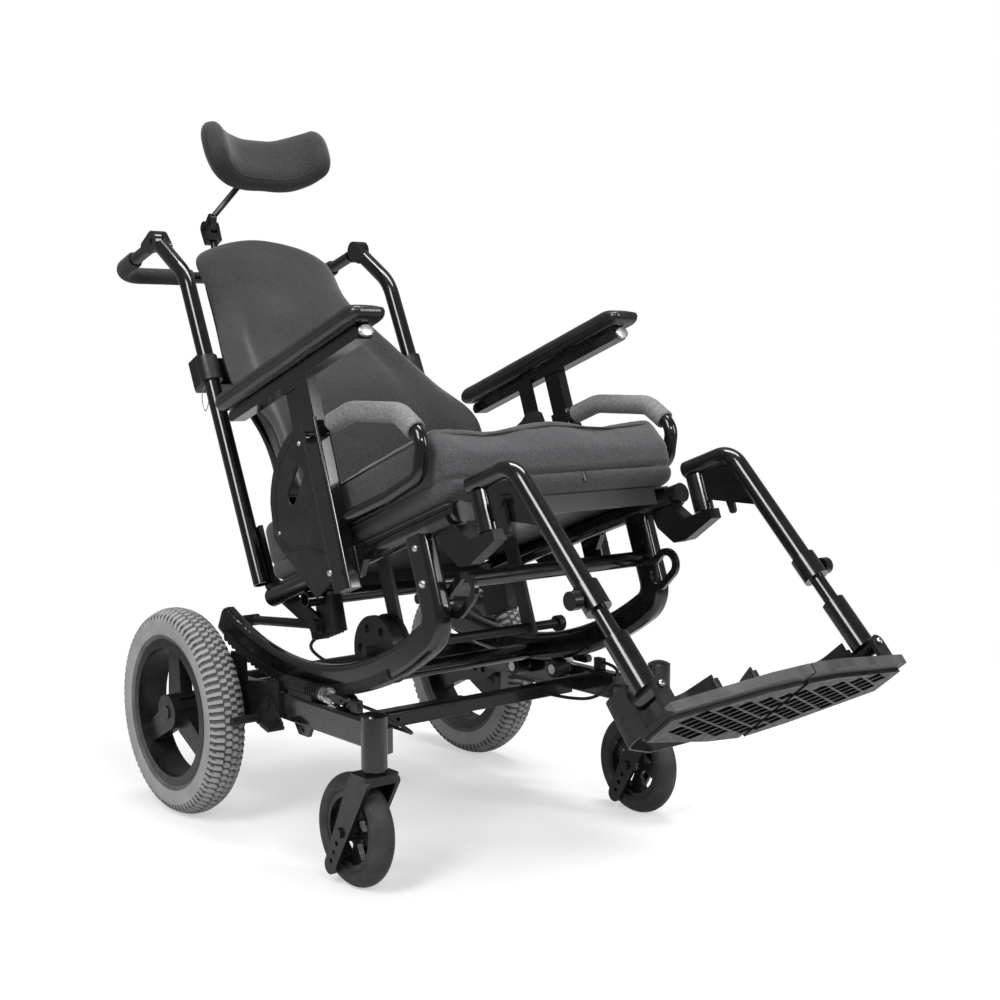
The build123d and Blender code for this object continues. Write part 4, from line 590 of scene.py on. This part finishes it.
def cushion_border(h_at, inset, count=220):
    """A line round the cushion's sides at one height, drawn in by the inset."""
    line = []
    for k in range(count):
        turn = 2 * pi * k / count
        cx, cs = cos(turn), sin(turn)
        x = (CUSHION_X - SIDE_INSET - inset) * squared(cx, SQUARENESS)
        s = mid_s + (half_length - END_INSET - inset) * squared(cs, SQUARENESS)
        line.append(cushion_point(x, s, h_at))
    return line


top_seam = [seat(*p) for p in cushion_border(CUSHION_H[1] - 0.008, 0.003)]
low_seam = [seat(*p) for p in cushion_border(FRONT_SEAM_H, -0.0005)]
for name, line, radius in (("seat_top_piping", top_seam, 0.0016),
                           ("seat_low_piping", low_seam, 0.0014)):
    piping = tube(name, line, radius, finishes["piping"], "seat", 8, closed=True)

# pull of the cover's zip
pull_points, pull_faces = rounded_block((2, 2, 2), (0.003, 0.0012, 0.0075), (0.0009, 0.0009, 0.0009))
x, s, h = cushion_point(0.028, FRONT - 0.004, FRONT_SEAM_H - 0.009)
pull = mesh_piece("zip_pull", [seat(x + a, s + 0.0012 + b, h + c) for a, b, c in pull_points],
                  pull_faces, finishes["dark_steel"], "seat")

# ------------------------ back cushion
BACK_LEVELS = [(0.112, 0.185, 0.118, -0.010, 0.052), (0.200, 0.193, 0.128, -0.014, 0.058),
               (0.300, 0.190, 0.052, -0.018, 0.060), (0.385, 0.166, 0.004, -0.050, 0.060),
               (0.450, 0.145, -0.028, -0.060, 0.058), (0.505, 0.133, -0.049, -0.074, 0.056),
               (0.560, 0.132, -0.064, -0.085, 0.052), (0.632, 0.131, -0.082, -0.102, 0.040)]
BOTTOM_T, BOTTOM_ROUND = 0.112, 0.02
SHOULDER_T, DOME = 0.564, 0.064
EDGE_LIP = 0.014
CREASE, CREASE_AT, CREASE_WIDTH = 0.006, 0.68, 0.09
BOLSTER, BOLSTER_AT, BOLSTER_WIDTH = 0.011, 0.86, 0.11


def back_level(t):
    """Half width, edge and centre of the rear face, and thickness, smoothly between the levels."""
    last = len(BACK_LEVELS) - 1
    k = max(i for i in range(last) if t >= BACK_LEVELS[i][0] or i == 0)
    low, high = BACK_LEVELS[k], BACK_LEVELS[k + 1]
    before, after = BACK_LEVELS[max(0, k - 1)], BACK_LEVELS[min(last, k + 2)]
    span = high[0] - low[0]
    f = (t - low[0]) / span
    values = []
    for c in range(1, 5):
        slope_low = (high[c] - before[c]) / (high[0] - before[0]) * span
        slope_high = (after[c] - low[c]) / (after[0] - low[0]) * span
        values.append((2 * f ** 3 - 3 * f ** 2 + 1) * low[c] + (f ** 3 - 2 * f ** 2 + f) * slope_low
                      + (3 * f ** 2 - 2 * f ** 3) * high[c] + (f ** 3 - f ** 2) * slope_high)
    return values


def arc_at(share, edge, centre, width):
    """Offset of the arc through the middle and both edges, at a share of its half width."""
    rise = edge - centre
    radius = (width ** 2 + rise ** 2) / (2 * rise)
    return centre + radius - sqrt(max(1e-9, radius ** 2 - (share * width) ** 2))


def back_ring(t, squeeze, narrow=1.0, count=52):
    """Points round the cushion at height t; squeeze rounds off its ends and narrow its shoulders."""
    width, edge, centre, thick = back_level(t)
    ring = []
    for k in range(count + 1):
        share = sin((-1 + 2 * k / count) * pi / 2)
        ring.append((share * width * narrow, arc_at(share * narrow, edge, centre, width)))
    for k in range(count + 1):
        share = sin((1 - 2 * k / count) * pi / 2)
        size = abs(share)
        full = (thick - EDGE_LIP) * (1 - size ** 2.6) + EDGE_LIP * (1 - size ** 10)
        wing = smooth_step(0.5 - t, 0.0, 0.12)
        crease = CREASE * bell(size, CREASE_AT, CREASE_WIDTH) * wing
        bolster = BOLSTER * bell(size, BOLSTER_AT, BOLSTER_WIDTH) * wing
        ring.append((share * width * narrow * 0.99, arc_at(share * narrow, edge, centre, width)
                     + max(0.0, full - crease + bolster)))
    middle = sum(off for _, off in ring) / len(ring)
    return [(x * (0.86 + 0.14 * squeeze), middle + (off - middle) * squeeze) for x, off in ring]


rings = []              # height, squeeze and narrowing of each ring
for k in range(7):
    f = k / 6 * pi / 2
    rings.append((BOTTOM_T + BOTTOM_ROUND * (1 - cos(f)), 0.12 + 0.88 * sin(f), 1.0))
for k in range(1, 60):
    straight = (SHOULDER_T - BOTTOM_T - BOTTOM_ROUND) * k / 60
    rings.append((BOTTOM_T + BOTTOM_ROUND + straight, 1.0, 1.0))
for k in range(25):
    f = k / 24 * pi / 2
    rings.append((SHOULDER_T + DOME * sin(f), max(0.04, cos(f) ** 0.42), max(0.03, cos(f) ** 0.86)))
back_rings = []
for t, squeeze, narrow in rings:
    loop = []
    for x, off in back_ring(t, squeeze, narrow):
        off += wrinkle((x, t, off), 0.07, 0.0016) + wrinkle((x, t, off), 0.02, 0.0005)
        loop.append(back(x, t, off))
    back_rings.append(loop)
back_cover = loft("back_cushion_cover", back_rings, finishes["back_knit"], "back")
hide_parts("back_cushion")

# ------------------------ headrest pad
HEAD_T = 0.733
HEAD_SEAM = 26         # the point of a section that the seam runs through
HEAD_PLAN = [(0.0, -0.0125, 0.0245, 0.047, 0.042), (0.030, -0.0115, 0.0250, 0.048, 0.043),
             (0.058, -0.005, 0.0245, 0.052, 0.042), (0.081, 0.009, 0.0230, 0.054, 0.038),
             (0.098, 0.027, 0.0210, 0.053, 0.031), (0.108, 0.044, 0.0190, 0.051, 0.024)]


def head_place(share):
    """Middle, half thickness, rise and drop of the winged pad at a share of its middle line."""
    place = abs(share) * (len(HEAD_PLAN) - 1)
    k = min(int(place), len(HEAD_PLAN) - 2)
    f = place - k
    before = HEAD_PLAN[k - 1] if k else (-HEAD_PLAN[1][0], *HEAD_PLAN[1][1:])
    low, high = HEAD_PLAN[k], HEAD_PLAN[k + 1]
    after = HEAD_PLAN[min(k + 2, len(HEAD_PLAN) - 1)]
    values = [b + 0.5 * f * (c - a + f * (2 * a - 5 * b + 4 * c - d + f * (3 * (b - c) + d - a)))
              for a, b, c, d in zip(before, low, high, after)]
    values[0] *= 1 if share >= 0 else -1
    return values


def head_ring(share, count=30):
    """Section of the pad square to its middle line."""
    x, off, half, rise, drop = head_place(share)
    ahead, behind = head_place(min(1, share + 0.02)), head_place(max(-1, share - 0.02))
    run, climb = ahead[0] - behind[0], ahead[1] - behind[1]
    length = sqrt(run * run + climb * climb)
    run, climb = run / length, climb / length
    squeeze = sqrt(max(0.0, 1 - (max(0.0, abs(share) - 0.8) / 0.2) ** 2)) * 0.97 + 0.03
    lean = (rise - drop) / 2
    ring = []
    for k in range(count):
        turn = 2 * pi * k / count
        c, s = squared(cos(turn), 0.75), squared(sin(turn), 0.8)
        out = half * c * squeeze
        if c > 0:
            out *= 1 - 0.16 * (1 - abs(s)) * bell(share, 0, 0.5)
        ring.append((x - climb * out, off + run * out, lean + (rise + drop) / 2 * s * squeeze))
    return ring


head_rings = []
for k in range(73):
    share = sin((-1 + 2 * k / 72) * pi / 2)
    head_rings.append([back(x, HEAD_T + t + wrinkle((x, t, off), 0.03, 0.0008), off)
                       for x, off, t in head_ring(share)])
head_cover = loft("headrest_cover", head_rings, finishes["back_knit"], "headrest")
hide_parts("headrest_pad")
seam = []
for k in range(61):
    share = sin((-1 + 2 * k / 60) * pi / 2) * 0.97
    x, off, t = head_ring(share)[HEAD_SEAM]
    seam.append(back(x, HEAD_T + t + 0.0002, off + 0.0002))
head_seam = tube("headrest_seam", seam, 0.0009, finishes["back_knit"], "headrest", 8, rounded=0.0005)

# ------------------------ pieces that come in pairs
ARM_X = 0.228
PAD_S = (-0.185, 0.211)
PAD_H = (-0.0897, -0.062)
PAD_HALF_X, PIPING_X = 0.0295, 0.0288
PAD_WAIST = 0.02
PAD_CROWN = 0.0018
PAD_NOSE, PAD_NOSE_RUN = 0.006, 0.03
CAP_S, CAP_H = 0.1885, -0.098
CAP_HALF_X, CAP_HALF_H = 0.0115, 0.0085


def arm_pad(side, sign):
    """Upholstered arm pad: crowned top, stitched edge and a rolled front end."""
    half_s = (PAD_S[1] - PAD_S[0]) / 2 - 0.001
    centre_s = sum(PAD_S) / 2
    half_h = (PAD_H[1] - PAD_H[0]) / 2 - 0.0012
    centre_h = sum(PAD_H) / 2 + 0.0002
    points, faces = rounded_block((20, 70, 8), (PAD_HALF_X, half_s, half_h), (0.013, 0.02, 0.0115))
    placed = []
    for x, s, h in points:
        up = h / half_h
        x *= 1 - PAD_WAIST * cos(pi / 2 * abs(s) / half_s)
        h += PAD_CROWN * (1 - (x / 0.03) ** 2) * smooth_step(up, 0, 1)
        h -= PAD_NOSE * smooth_step(s, half_s - PAD_NOSE_RUN, half_s) * smooth_step(up, 0, 1)
        h += wrinkle((x, s, h), 0.03, 0.0005)
        placed.append(seat(sign * ARM_X + x, centre_s + s, centre_h + h))
    pad = mesh_piece(f"arm_pad_cover_{side}", placed, faces, finishes["vinyl"], f"armrest_{side}")
    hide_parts(f"arm_pad_{side}")
    line = []
    for k in range(160):
        turn = 2 * pi * k / 160
        x = PIPING_X * squared(cos(turn), 0.28)
        along = (half_s - 0.0012) * squared(sin(turn), 0.12)
        x *= 1 - PAD_WAIST * cos(pi / 2 * abs(along) / half_s)
        line.append(seat(sign * ARM_X + x, centre_s + along, centre_h - 0.0015))
    edge = tube(f"arm_pad_piping_{side}", line, 0.0012, finishes["piping"], f"armrest_{side}", 8,
                closed=True)


def rail_cap(side, sign):
    """Oval end cap on the front of an armrest's rail."""
    depth, count = 0.0045, 28
    profile = [(0.0, 1.0), (depth * 0.6, 1.0), (depth * 0.88, 0.9), (depth, 0.7)]
    rings = []
    for along, share in profile:
        turns = (2 * pi * k / count for k in range(count))
        rings.append([seat(sign * ARM_X + CAP_HALF_X * share * cos(turn), CAP_S + along,
                           CAP_H + CAP_HALF_H * share * sin(turn)) for turn in turns])
    cap = loft(f"arm_rail_cap_{side}", rings, finishes["aluminium"], f"armrest_{side}")
    sharpen(cap)


LOOP_X = 0.221
FOAM_ROUTE = [(0.062, -0.182), (0.112, -0.182), (0.214, -0.218), (0.2397, -0.2495)]
FOAM_BENDS = [0.060, 0.038]
FOAM_RADIUS = 0.014
LOOP_BORE, PUSH_BORE = 0.0096, 0.0101


def foam_grip(side, sign):
    """Foam sleeve along the top and round the front bend of a grab loop."""
    route = arcs([seat(sign * LOOP_X, s, h) for s, h in FOAM_ROUTE], FOAM_BENDS)
    grip = hollow_sleeve(f"grab_foam_{side}", route, LOOP_BORE, FOAM_RADIUS, finishes["foam"], "seat")


def hollow_sleeve(name, route, inner, outer, material, body, count=24):
    """A foam sleeve round a tube, with rolled ends."""
    total = len(route)
    side = None
    frames = []
    for i, here in enumerate(route):
        along = (route[min(i + 1, total - 1)] - route[max(i - 1, 0)]).normalized()
        side = along.orthogonal() if side is None else side - along * side.dot(along)
        side = side.normalized()
        frames.append((here, side, along.cross(side), along))
    roll = (outer - inner) / 2
    middle = (outer + inner) / 2
    loops = []
    here, s, u, along = frames[0]
    for k in range(7):
        f = pi * k / 6
        place = here + along * (roll * (1 - sin(f)))
        loops.append(ring_of(place, s, u, middle - roll * cos(f), count))
    for here, s, u, along in frames[1:-1]:
        swell = 0.0003 * noise.noise(here / 0.02)
        loops.append(ring_of(here, s, u, outer + swell, count))
    here, s, u, along = frames[-1]
    for k in range(7):
        f = pi * k / 6
        place = here - along * (roll * (1 - sin(f)))
        loops.append(ring_of(place, s, u, middle + roll * cos(f), count))
    for here, s, u, along in reversed(frames[1:-1]):
        loops.append(ring_of(here, s, u, inner, count))
    points = [p for loop in loops for p in loop]
    faces = grid_faces(len(loops), count, wrap_rows=True, wrap_columns=True)
    return mesh_piece(name, points, faces, material, body)


TYRE_OUTER, TYRE_SEAT = 0.157, 0.106
WHEEL_X, AXLE_BEHIND = 0.2788, 0.217
CROWN_DROP, SHOULDER_X = 0.007, 0.0215
WALL_X, WALL_BULGE = 0.0208, 0.0075
WALL_RADIUS = 0.1392
WALL_SHARE = 0.138     # below this radius a wall carries its moulded ring
WALL_RING = 0.122
KNOBS = 84
KNOB_DEPTH = 0.0048
KNOB_START, KNOB_END = 0.09, 0.55      # a knob's part of the pitch
# tread faces this close to the tyre's middle and this far below the crown get the darker rubber:
# painted shade in the gaps
GAP_EDGE, GAP_DEPTH = 0.0262, 0.003
KNOB_EDGES = (0.04, 0.10, 0.32, 0.54, 0.60, 0.82)


def crown(x):
    """Radius of the tops of the knobs at x from the tyre's middle."""
    return TYRE_OUTER - CROWN_DROP * (x / SHOULDER_X) ** 2


def tread_profile():
    """Half profile from the crown to the rim: (x, radius, row of knobs, raised share)."""
    flats = [(0.0, 0, 0.0), (0.0007, 1, 0.0), (0.0014, 1, 1.0), (0.005, 1, 1.0), (0.0088, 1, 1.0),
             (0.0096, 1, 0.0), (0.0114, 2, 0.0), (0.0122, 2, 1.0), (0.017, 2, 1.0),
             (SHOULDER_X, 2, 1.0)]
    profile = [(x, crown(x), row, raised) for x, row, raised in flats]
    profile += [(0.0258, 0.1452, 2, 1.0), (0.0276, 0.1406, 2, 0.9), (0.0281, WALL_RADIUS, 0, 1.0)]
    for k in range(1, 9):
        turn = pi / 2 * k / 8
        radius = WALL_RADIUS - (WALL_RADIUS - TYRE_SEAT - 0.0035) * sin(turn)
        profile.append((WALL_X + WALL_BULGE * cos(turn), radius, 0, 1.0))
    profile.append((WALL_X, TYRE_SEAT + 0.0003, 0, 1.0))
    return profile


def knob_height(row, phase, raised):
    """1 on a knob, 0 in a gap; neighbouring rows stand half a pitch apart."""
    if row == 0:
        return raised
    phase = (phase + (0.5 if row in (2, -1) else 0.0)) % 1.0
    return raised * (1.0 if KNOB_START < phase < KNOB_END else 0.0)


def tyre(side, sign):
    """Rear tyre: four rows of small staggered knobs between smooth light walls; the floors of the
    gaps between the knobs get a darker rubber, painted shade.
    """
    centre = Vector((sign * WHEEL_X, TILT_CENTRE.y + AXLE_BEHIND, TYRE_OUTER))
    half_line = tread_profile()
    line = [(-x, r, -row, raised) for x, r, row, raised in reversed(half_line[1:])] + half_line
    rings = []
    for j in range(KNOBS):
        for edge in KNOB_EDGES:
            turn = 2 * pi * (j + edge) / KNOBS
            ring = []
            for x, r, row, raised in line:
                groove = KNOB_DEPTH * (1 - knob_height(row, edge, raised))
                if r < WALL_SHARE:
                    groove -= 0.0006 * bell(r, WALL_RING, 0.0016)
                reach = r - groove
                narrowed = x * (1 - groove * 7)
                ring.append(centre + Vector((narrowed, reach * cos(turn), reach * sin(turn))))
            rings.append(ring)
    points = [p for ring in rings for p in ring]
    faces = grid_faces(len(rings), len(rings[0]), wrap_rows=True, wrap_columns=True)
    piece = mesh_piece(f"rear_tyre_tread_{side}", points, faces, finishes["grey_tyre"],
                       f"rear_wheel_{side}")
    # the floors of the gaps take the darker rubber: painted shade
    piece.data.materials.append(finishes["painted_shade_tread_gap"])
    for face in piece.data.polygons:
        away = face.center - centre
        radius = sqrt(away.y ** 2 + away.z ** 2)
        if abs(away.x) < GAP_EDGE and radius < crown(away.x) - GAP_DEPTH:
            face.material_index = 1
    sharpen(piece, 0.55)
    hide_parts(f"rear_tyre_{side}")


for side, sign in SIDES:
    arm_pad(side, sign)
    foam_grip(side, sign)
    tyre(side, sign)
    rail_cap(side, sign)
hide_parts("grab_grips")

# the push handle's two foam grips
HANDLE_LEAN = radians(17)
ELBOW = Vector((0, 0.5145, 0.8772))
PUSH_X, PUSH_END_X = 0.195, 0.052
PUSH_FROM, PUSH_REACH, PUSH_BEND = 0.087, 0.164, 0.048


def handle(x, reach):
    """A point of the push handle's leaning plane, reach behind its elbow."""
    return Vector((x, ELBOW.y + reach * cos(HANDLE_LEAN), ELBOW.z - reach * sin(HANDLE_LEAN)))


for side, sign in SIDES:
    route = arcs([handle(sign * PUSH_X, PUSH_FROM), handle(sign * PUSH_X, PUSH_REACH),
                  handle(sign * PUSH_END_X, PUSH_REACH)], [PUSH_BEND])
    grip = hollow_sleeve(f"push_foam_{side}", route, PUSH_BORE, FOAM_RADIUS, finishes["dark_foam"],
                         "handle")
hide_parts("push_grips")

# ------------------------ cables
CABLE_RADIUS = 0.0025


def smooth_curve(name, points):
    """A curve of order 3 through control points."""
    data = bpy.data.curves.new(name, "CURVE")
    data.dimensions = "3D"
    line = data.splines.new("NURBS")
    line.points.add(len(points) - 1)
    for spot, p in zip(line.points, points):
        spot.co = (*p, 1)
    line.order_u = 3
    line.use_endpoint_u = True
    line.resolution_u = 12
    return data


def curve_length(points):
    """Length of the curve through control points."""
    data = smooth_curve("measure", points)
    length = data.splines[0].calc_length()
    bpy.data.curves.remove(data)
    return length


def cable(name, points, body):
    """A control cable as one smooth curve."""
    data = smooth_curve(name, points)
    data.bevel_depth = CABLE_RADIUS
    data.bevel_resolution = 5
    data.use_fill_caps = True
    piece = bpy.data.objects.new(name, data)
    bpy.context.scene.collection.objects.link(piece)
    data.materials.append(finishes["cable_jacket"])
    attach(piece, body)
    exit_point, length = points[0], curve_length(points)
    return piece


LOCK_X, LOCK_Z = 0.223, 0.229
LOCK_ROUTE = [(LOCK_X, 0.177, LOCK_Z), (LOCK_X, 0.234, LOCK_Z), (0.168, 0.234, 0.190),
              (0.150, 0.182, 0.183), (0.150, 0.1261, 0.183)]
RAIL_TOP, STOP_TOP = 0.217, LOCK_Z + 0.006
STOP_S, STOP_GAP = 0.175, 0.0001
for side, sign in SIDES:
    stop_points, stop_faces = rounded_block((2, 4, 2), (0.005, 0.009, (STOP_TOP - RAIL_TOP) / 2),
                                            (0.0015,) * 3)
    stop_z = (STOP_TOP + RAIL_TOP) / 2 + STOP_GAP
    stop = mesh_piece(f"lock_cable_stop_{side}",
                      [base(sign * LOCK_X + x, STOP_S + s, stop_z + z) for x, s, z in stop_points],
                      stop_faces, finishes["dark_steel"], "base")
    if side == "right":
        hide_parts("lock_cables")
    cable(f"lock_cable_{side}", [base(sign * x, s, z) for x, s, z in LOCK_ROUTE], "base")

BRACE_X, PLATE_X = 0.1524, 0.118
RELEASE_ROUTE = [(BRACE_X, -0.1721, -0.434), (BRACE_X, -0.232, -0.434), (PLATE_X, -0.240, -0.468),
                 (PLATE_X, -0.182, -0.480), (PLATE_X, -0.115, -0.4805), (PLATE_X, -0.0485, -0.472)]
release = cable("release_cable_jacket", [seat(-x, s, h) for x, s, h in RELEASE_ROUTE], "seat")
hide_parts("release_cable")

# ------------------------ small hardware
OUT = (1, 0, 0)
FORWARD = tuple(foot(0, 1, 0) - foot(0, 0, 0))
ROCKER_FACE, RECEIVER_FACE, GUARD_FACE = 0.2075, 0.251, 0.2125
# plane, x, forward, up, axis, radius and body of the right or left screw
SCREWS = [
    (seat, ROCKER_FACE, 0.167, -0.432, OUT, 0.0062, "seat"),
    (seat, ROCKER_FACE, 0.167, -0.385, OUT, 0.005, "seat"),
    (seat, RECEIVER_FACE, 0.017, -0.196, OUT, 0.0036, "seat"),
    (seat, RECEIVER_FACE, 0.028, -0.380, OUT, 0.005, "seat"),
    (seat, GUARD_FACE, -0.028, -0.163, OUT, 0.0034, "armrest_{}"),
    (seat, GUARD_FACE, -0.009, -0.363, OUT, 0.0034, "armrest_{}"),
    (seat, GUARD_FACE, -0.140, -0.284, OUT, 0.0034, "armrest_{}"),
    (foot, 0.190, 0.0245, 0.0, FORWARD, 0.0046, "foot_flap_{}"),
]
for side, sign in SIDES:
    for k, (plane, x, forward, up, axis, radius, body) in enumerate(SCREWS):
        out = Vector((sign * axis[0], axis[1], axis[2]))
        socket_screw(f"frame_screw_{k}_{side}", plane(sign * x, forward, up), out, radius,
                     body.format(side))

REAR_RIB = [(-0.060, -0.168), (-0.106, -0.190), (-0.141, -0.241), (-0.148, -0.287), (-0.126, -0.320)]
LOW_RIB = [(-0.134, -0.312), (-0.090, -0.318), (-0.040, -0.338), (-0.006, -0.358)]


def guard_rib(name, points, radius, side, sign):
    """A moulded rib on the side guard's outer face."""
    line = arcs([seat(sign * GUARD_FACE, s, h) for s, h in points], [0.02] * (len(points) - 2), 0.003)
    rib = tube(name, line, radius, finishes["guard_plastic"], f"armrest_{side}", 10,
               rounded=radius * 0.8)


for side, sign in SIDES:
    guard_rib(f"guard_rear_rib_{side}", REAR_RIB, 0.0016, side, sign)
    guard_rib(f"guard_low_rib_{side}", LOW_RIB, 0.0018, side, sign)
    ring_top = back(sign * 0.1885, 0.3395, -0.034)
    ring = [ring_top + Vector((0.0006 * sin(3 * turn), 0.0095 * sin(turn), -0.0195 * (1 - cos(turn))))
            for turn in (2 * pi * k / 48 for k in range(48))]
    pin_ring = tube(f"clamp_pin_ring_{side}", ring, 0.0007, finishes["steel"], "back", 8, closed=True)

# ------------------------ floor, light and camera
WHITE = 1.0
AMBIENT = 0.19
FLOOR_GREY, FLOOR_GLOW = 0.6, 0.50
MIRRORED_WHITE = 0.24
SEEN_FROM = 0.01
FADE_START, FADE_END = 0.75, 1.9
FLOOR_REACH = 14


def maths(tree, operation, first, second):
    """Output of a math node on a socket and either another socket or a number."""
    made = tree.nodes.new("ShaderNodeMath")
    made.operation = operation
    tree.links.new(first, made.inputs[0])
    if isinstance(second, float):
        made.inputs[1].default_value = second
    else:
        tree.links.new(second, made.inputs[1])
    return made.outputs[0]


def seen_directly(tree, ray):
    """1 for rays from the camera and rays through glass, else 0."""
    return maths(tree, "MAXIMUM", ray.outputs["Is Camera Ray"], ray.outputs["Is Transmission Ray"])


def backdrop_material():
    """Pale floor that keeps its shadow near the chair and runs out into a white ground.

    The white is seen by camera, glossy and transmission rays only, so it adds no light.
    """
    material = bpy.data.materials.new("studio_floor")
    material.use_nodes = True
    tree = material.node_tree
    tree.nodes.clear()
    make, link = tree.nodes.new, tree.links.new
    ray = make("ShaderNodeLightPath")
    mirrored = maths(tree, "MULTIPLY", ray.outputs["Is Glossy Ray"], MIRRORED_WHITE)
    seen = maths(tree, "MAXIMUM", seen_directly(tree, ray), mirrored)
    away = make("ShaderNodeVectorMath")
    away.operation = "LENGTH"
    link(make("ShaderNodeTexCoord").outputs["Object"], away.inputs[0])
    fade = make("ShaderNodeMapRange")
    fade.interpolation_type = "SMOOTHSTEP"
    fade.inputs["From Min"].default_value = FADE_START
    fade.inputs["From Max"].default_value = FADE_END
    link(away.outputs["Value"], fade.inputs["Value"])
    shown = maths(tree, "GREATER_THAN", seen, SEEN_FROM)
    diffuse = make("ShaderNodeBsdfDiffuse")
    diffuse.inputs["Color"].default_value = (FLOOR_GREY, FLOOR_GREY, FLOOR_GREY, 1)
    near, far = make("ShaderNodeEmission"), make("ShaderNodeEmission")
    link(maths(tree, "MULTIPLY", seen, FLOOR_GLOW), near.inputs["Strength"])
    link(maths(tree, "MULTIPLY", seen, WHITE), far.inputs["Strength"])
    add = make("ShaderNodeAddShader")
    link(diffuse.outputs[0], add.inputs[0])
    link(near.outputs[0], add.inputs[1])
    mix = make("ShaderNodeMixShader")
    link(maths(tree, "MULTIPLY", fade.outputs[0], shown), mix.inputs["Fac"])
    link(add.outputs[0], mix.inputs[1])
    link(far.outputs[0], mix.inputs[2])
    link(mix.outputs[0], make("ShaderNodeOutputMaterial").inputs["Surface"])
    return material


floor_mesh = bpy.data.meshes.new("floor")
floor_corners = [(x * FLOOR_REACH, y * FLOOR_REACH, 0)
                 for x, y in ((-1, -1), (1, -1), (1, 1), (-1, 1))]
floor_mesh.from_pydata(floor_corners, [], [(0, 1, 2, 3)])
floor = bpy.data.objects.new("floor", floor_mesh)
bpy.context.scene.collection.objects.link(floor)
floor.data.materials.append(backdrop_material())

# the world shows white to the camera and lights the chair only faintly
world = bpy.data.worlds.new("studio")
bpy.context.scene.world = world
world.use_nodes = True
tree = world.node_tree
sky = tree.nodes["Background"]
level = tree.nodes.new("ShaderNodeMapRange")
level.inputs["To Min"].default_value = AMBIENT
level.inputs["To Max"].default_value = WHITE
tree.links.new(seen_directly(tree, tree.nodes.new("ShaderNodeLightPath")), level.inputs["Value"])
tree.links.new(level.outputs[0], sky.inputs["Strength"])
sky.inputs["Color"].default_value = (1, 1, 1, 1)


def softbox(name, place, aim, size, watts):
    """A rectangular lamp that faces a point."""
    data = bpy.data.lights.new(name, "AREA")
    data.shape = "RECTANGLE"
    data.size, data.size_y = size
    data.energy = watts
    lamp = bpy.data.objects.new(name, data)
    bpy.context.scene.collection.objects.link(lamp)
    lamp.location = place
    lamp.rotation_euler = (Vector(aim) - Vector(place)).to_track_quat("-Z", "Y").to_euler()


softbox("key", (-2.4, -0.9, 2.5), (0, -0.1, 0.5), (0.9, 1.9), 66)
softbox("fill", (1.5, -2.7, 1.7), (0, -0.1, 0.5), (0.5, 1.6), 30)
softbox("top", (0.3, 0.2, 3.0), (0, 0, 0.5), (2.2, 0.7), 62)
softbox("front", (-1.2, -3.0, 2.2), (0, -0.1, 0.6), (1.2, 0.35), 30)

# the camera that was fitted to the photograph; sensor and lens in millimetres
CAMERA_PLACE = (-1.34704, -1.76906, 0.70295)
CAMERA_PITCH, CAMERA_YAW = radians(84.37), radians(-39.29)
SENSOR, LENS = 36, 54.87
camera_data = bpy.data.cameras.new("camera")
camera_data.sensor_width = SENSOR
camera_data.lens = LENS
camera_data.clip_start = 0.05
camera = bpy.data.objects.new("camera", camera_data)
bpy.context.scene.collection.objects.link(camera)
camera.location = CAMERA_PLACE
camera.rotation_euler = (CAMERA_PITCH, 0, CAMERA_YAW)
bpy.context.scene.camera = camera
bpy.context.scene.view_settings.view_transform = "Standard"
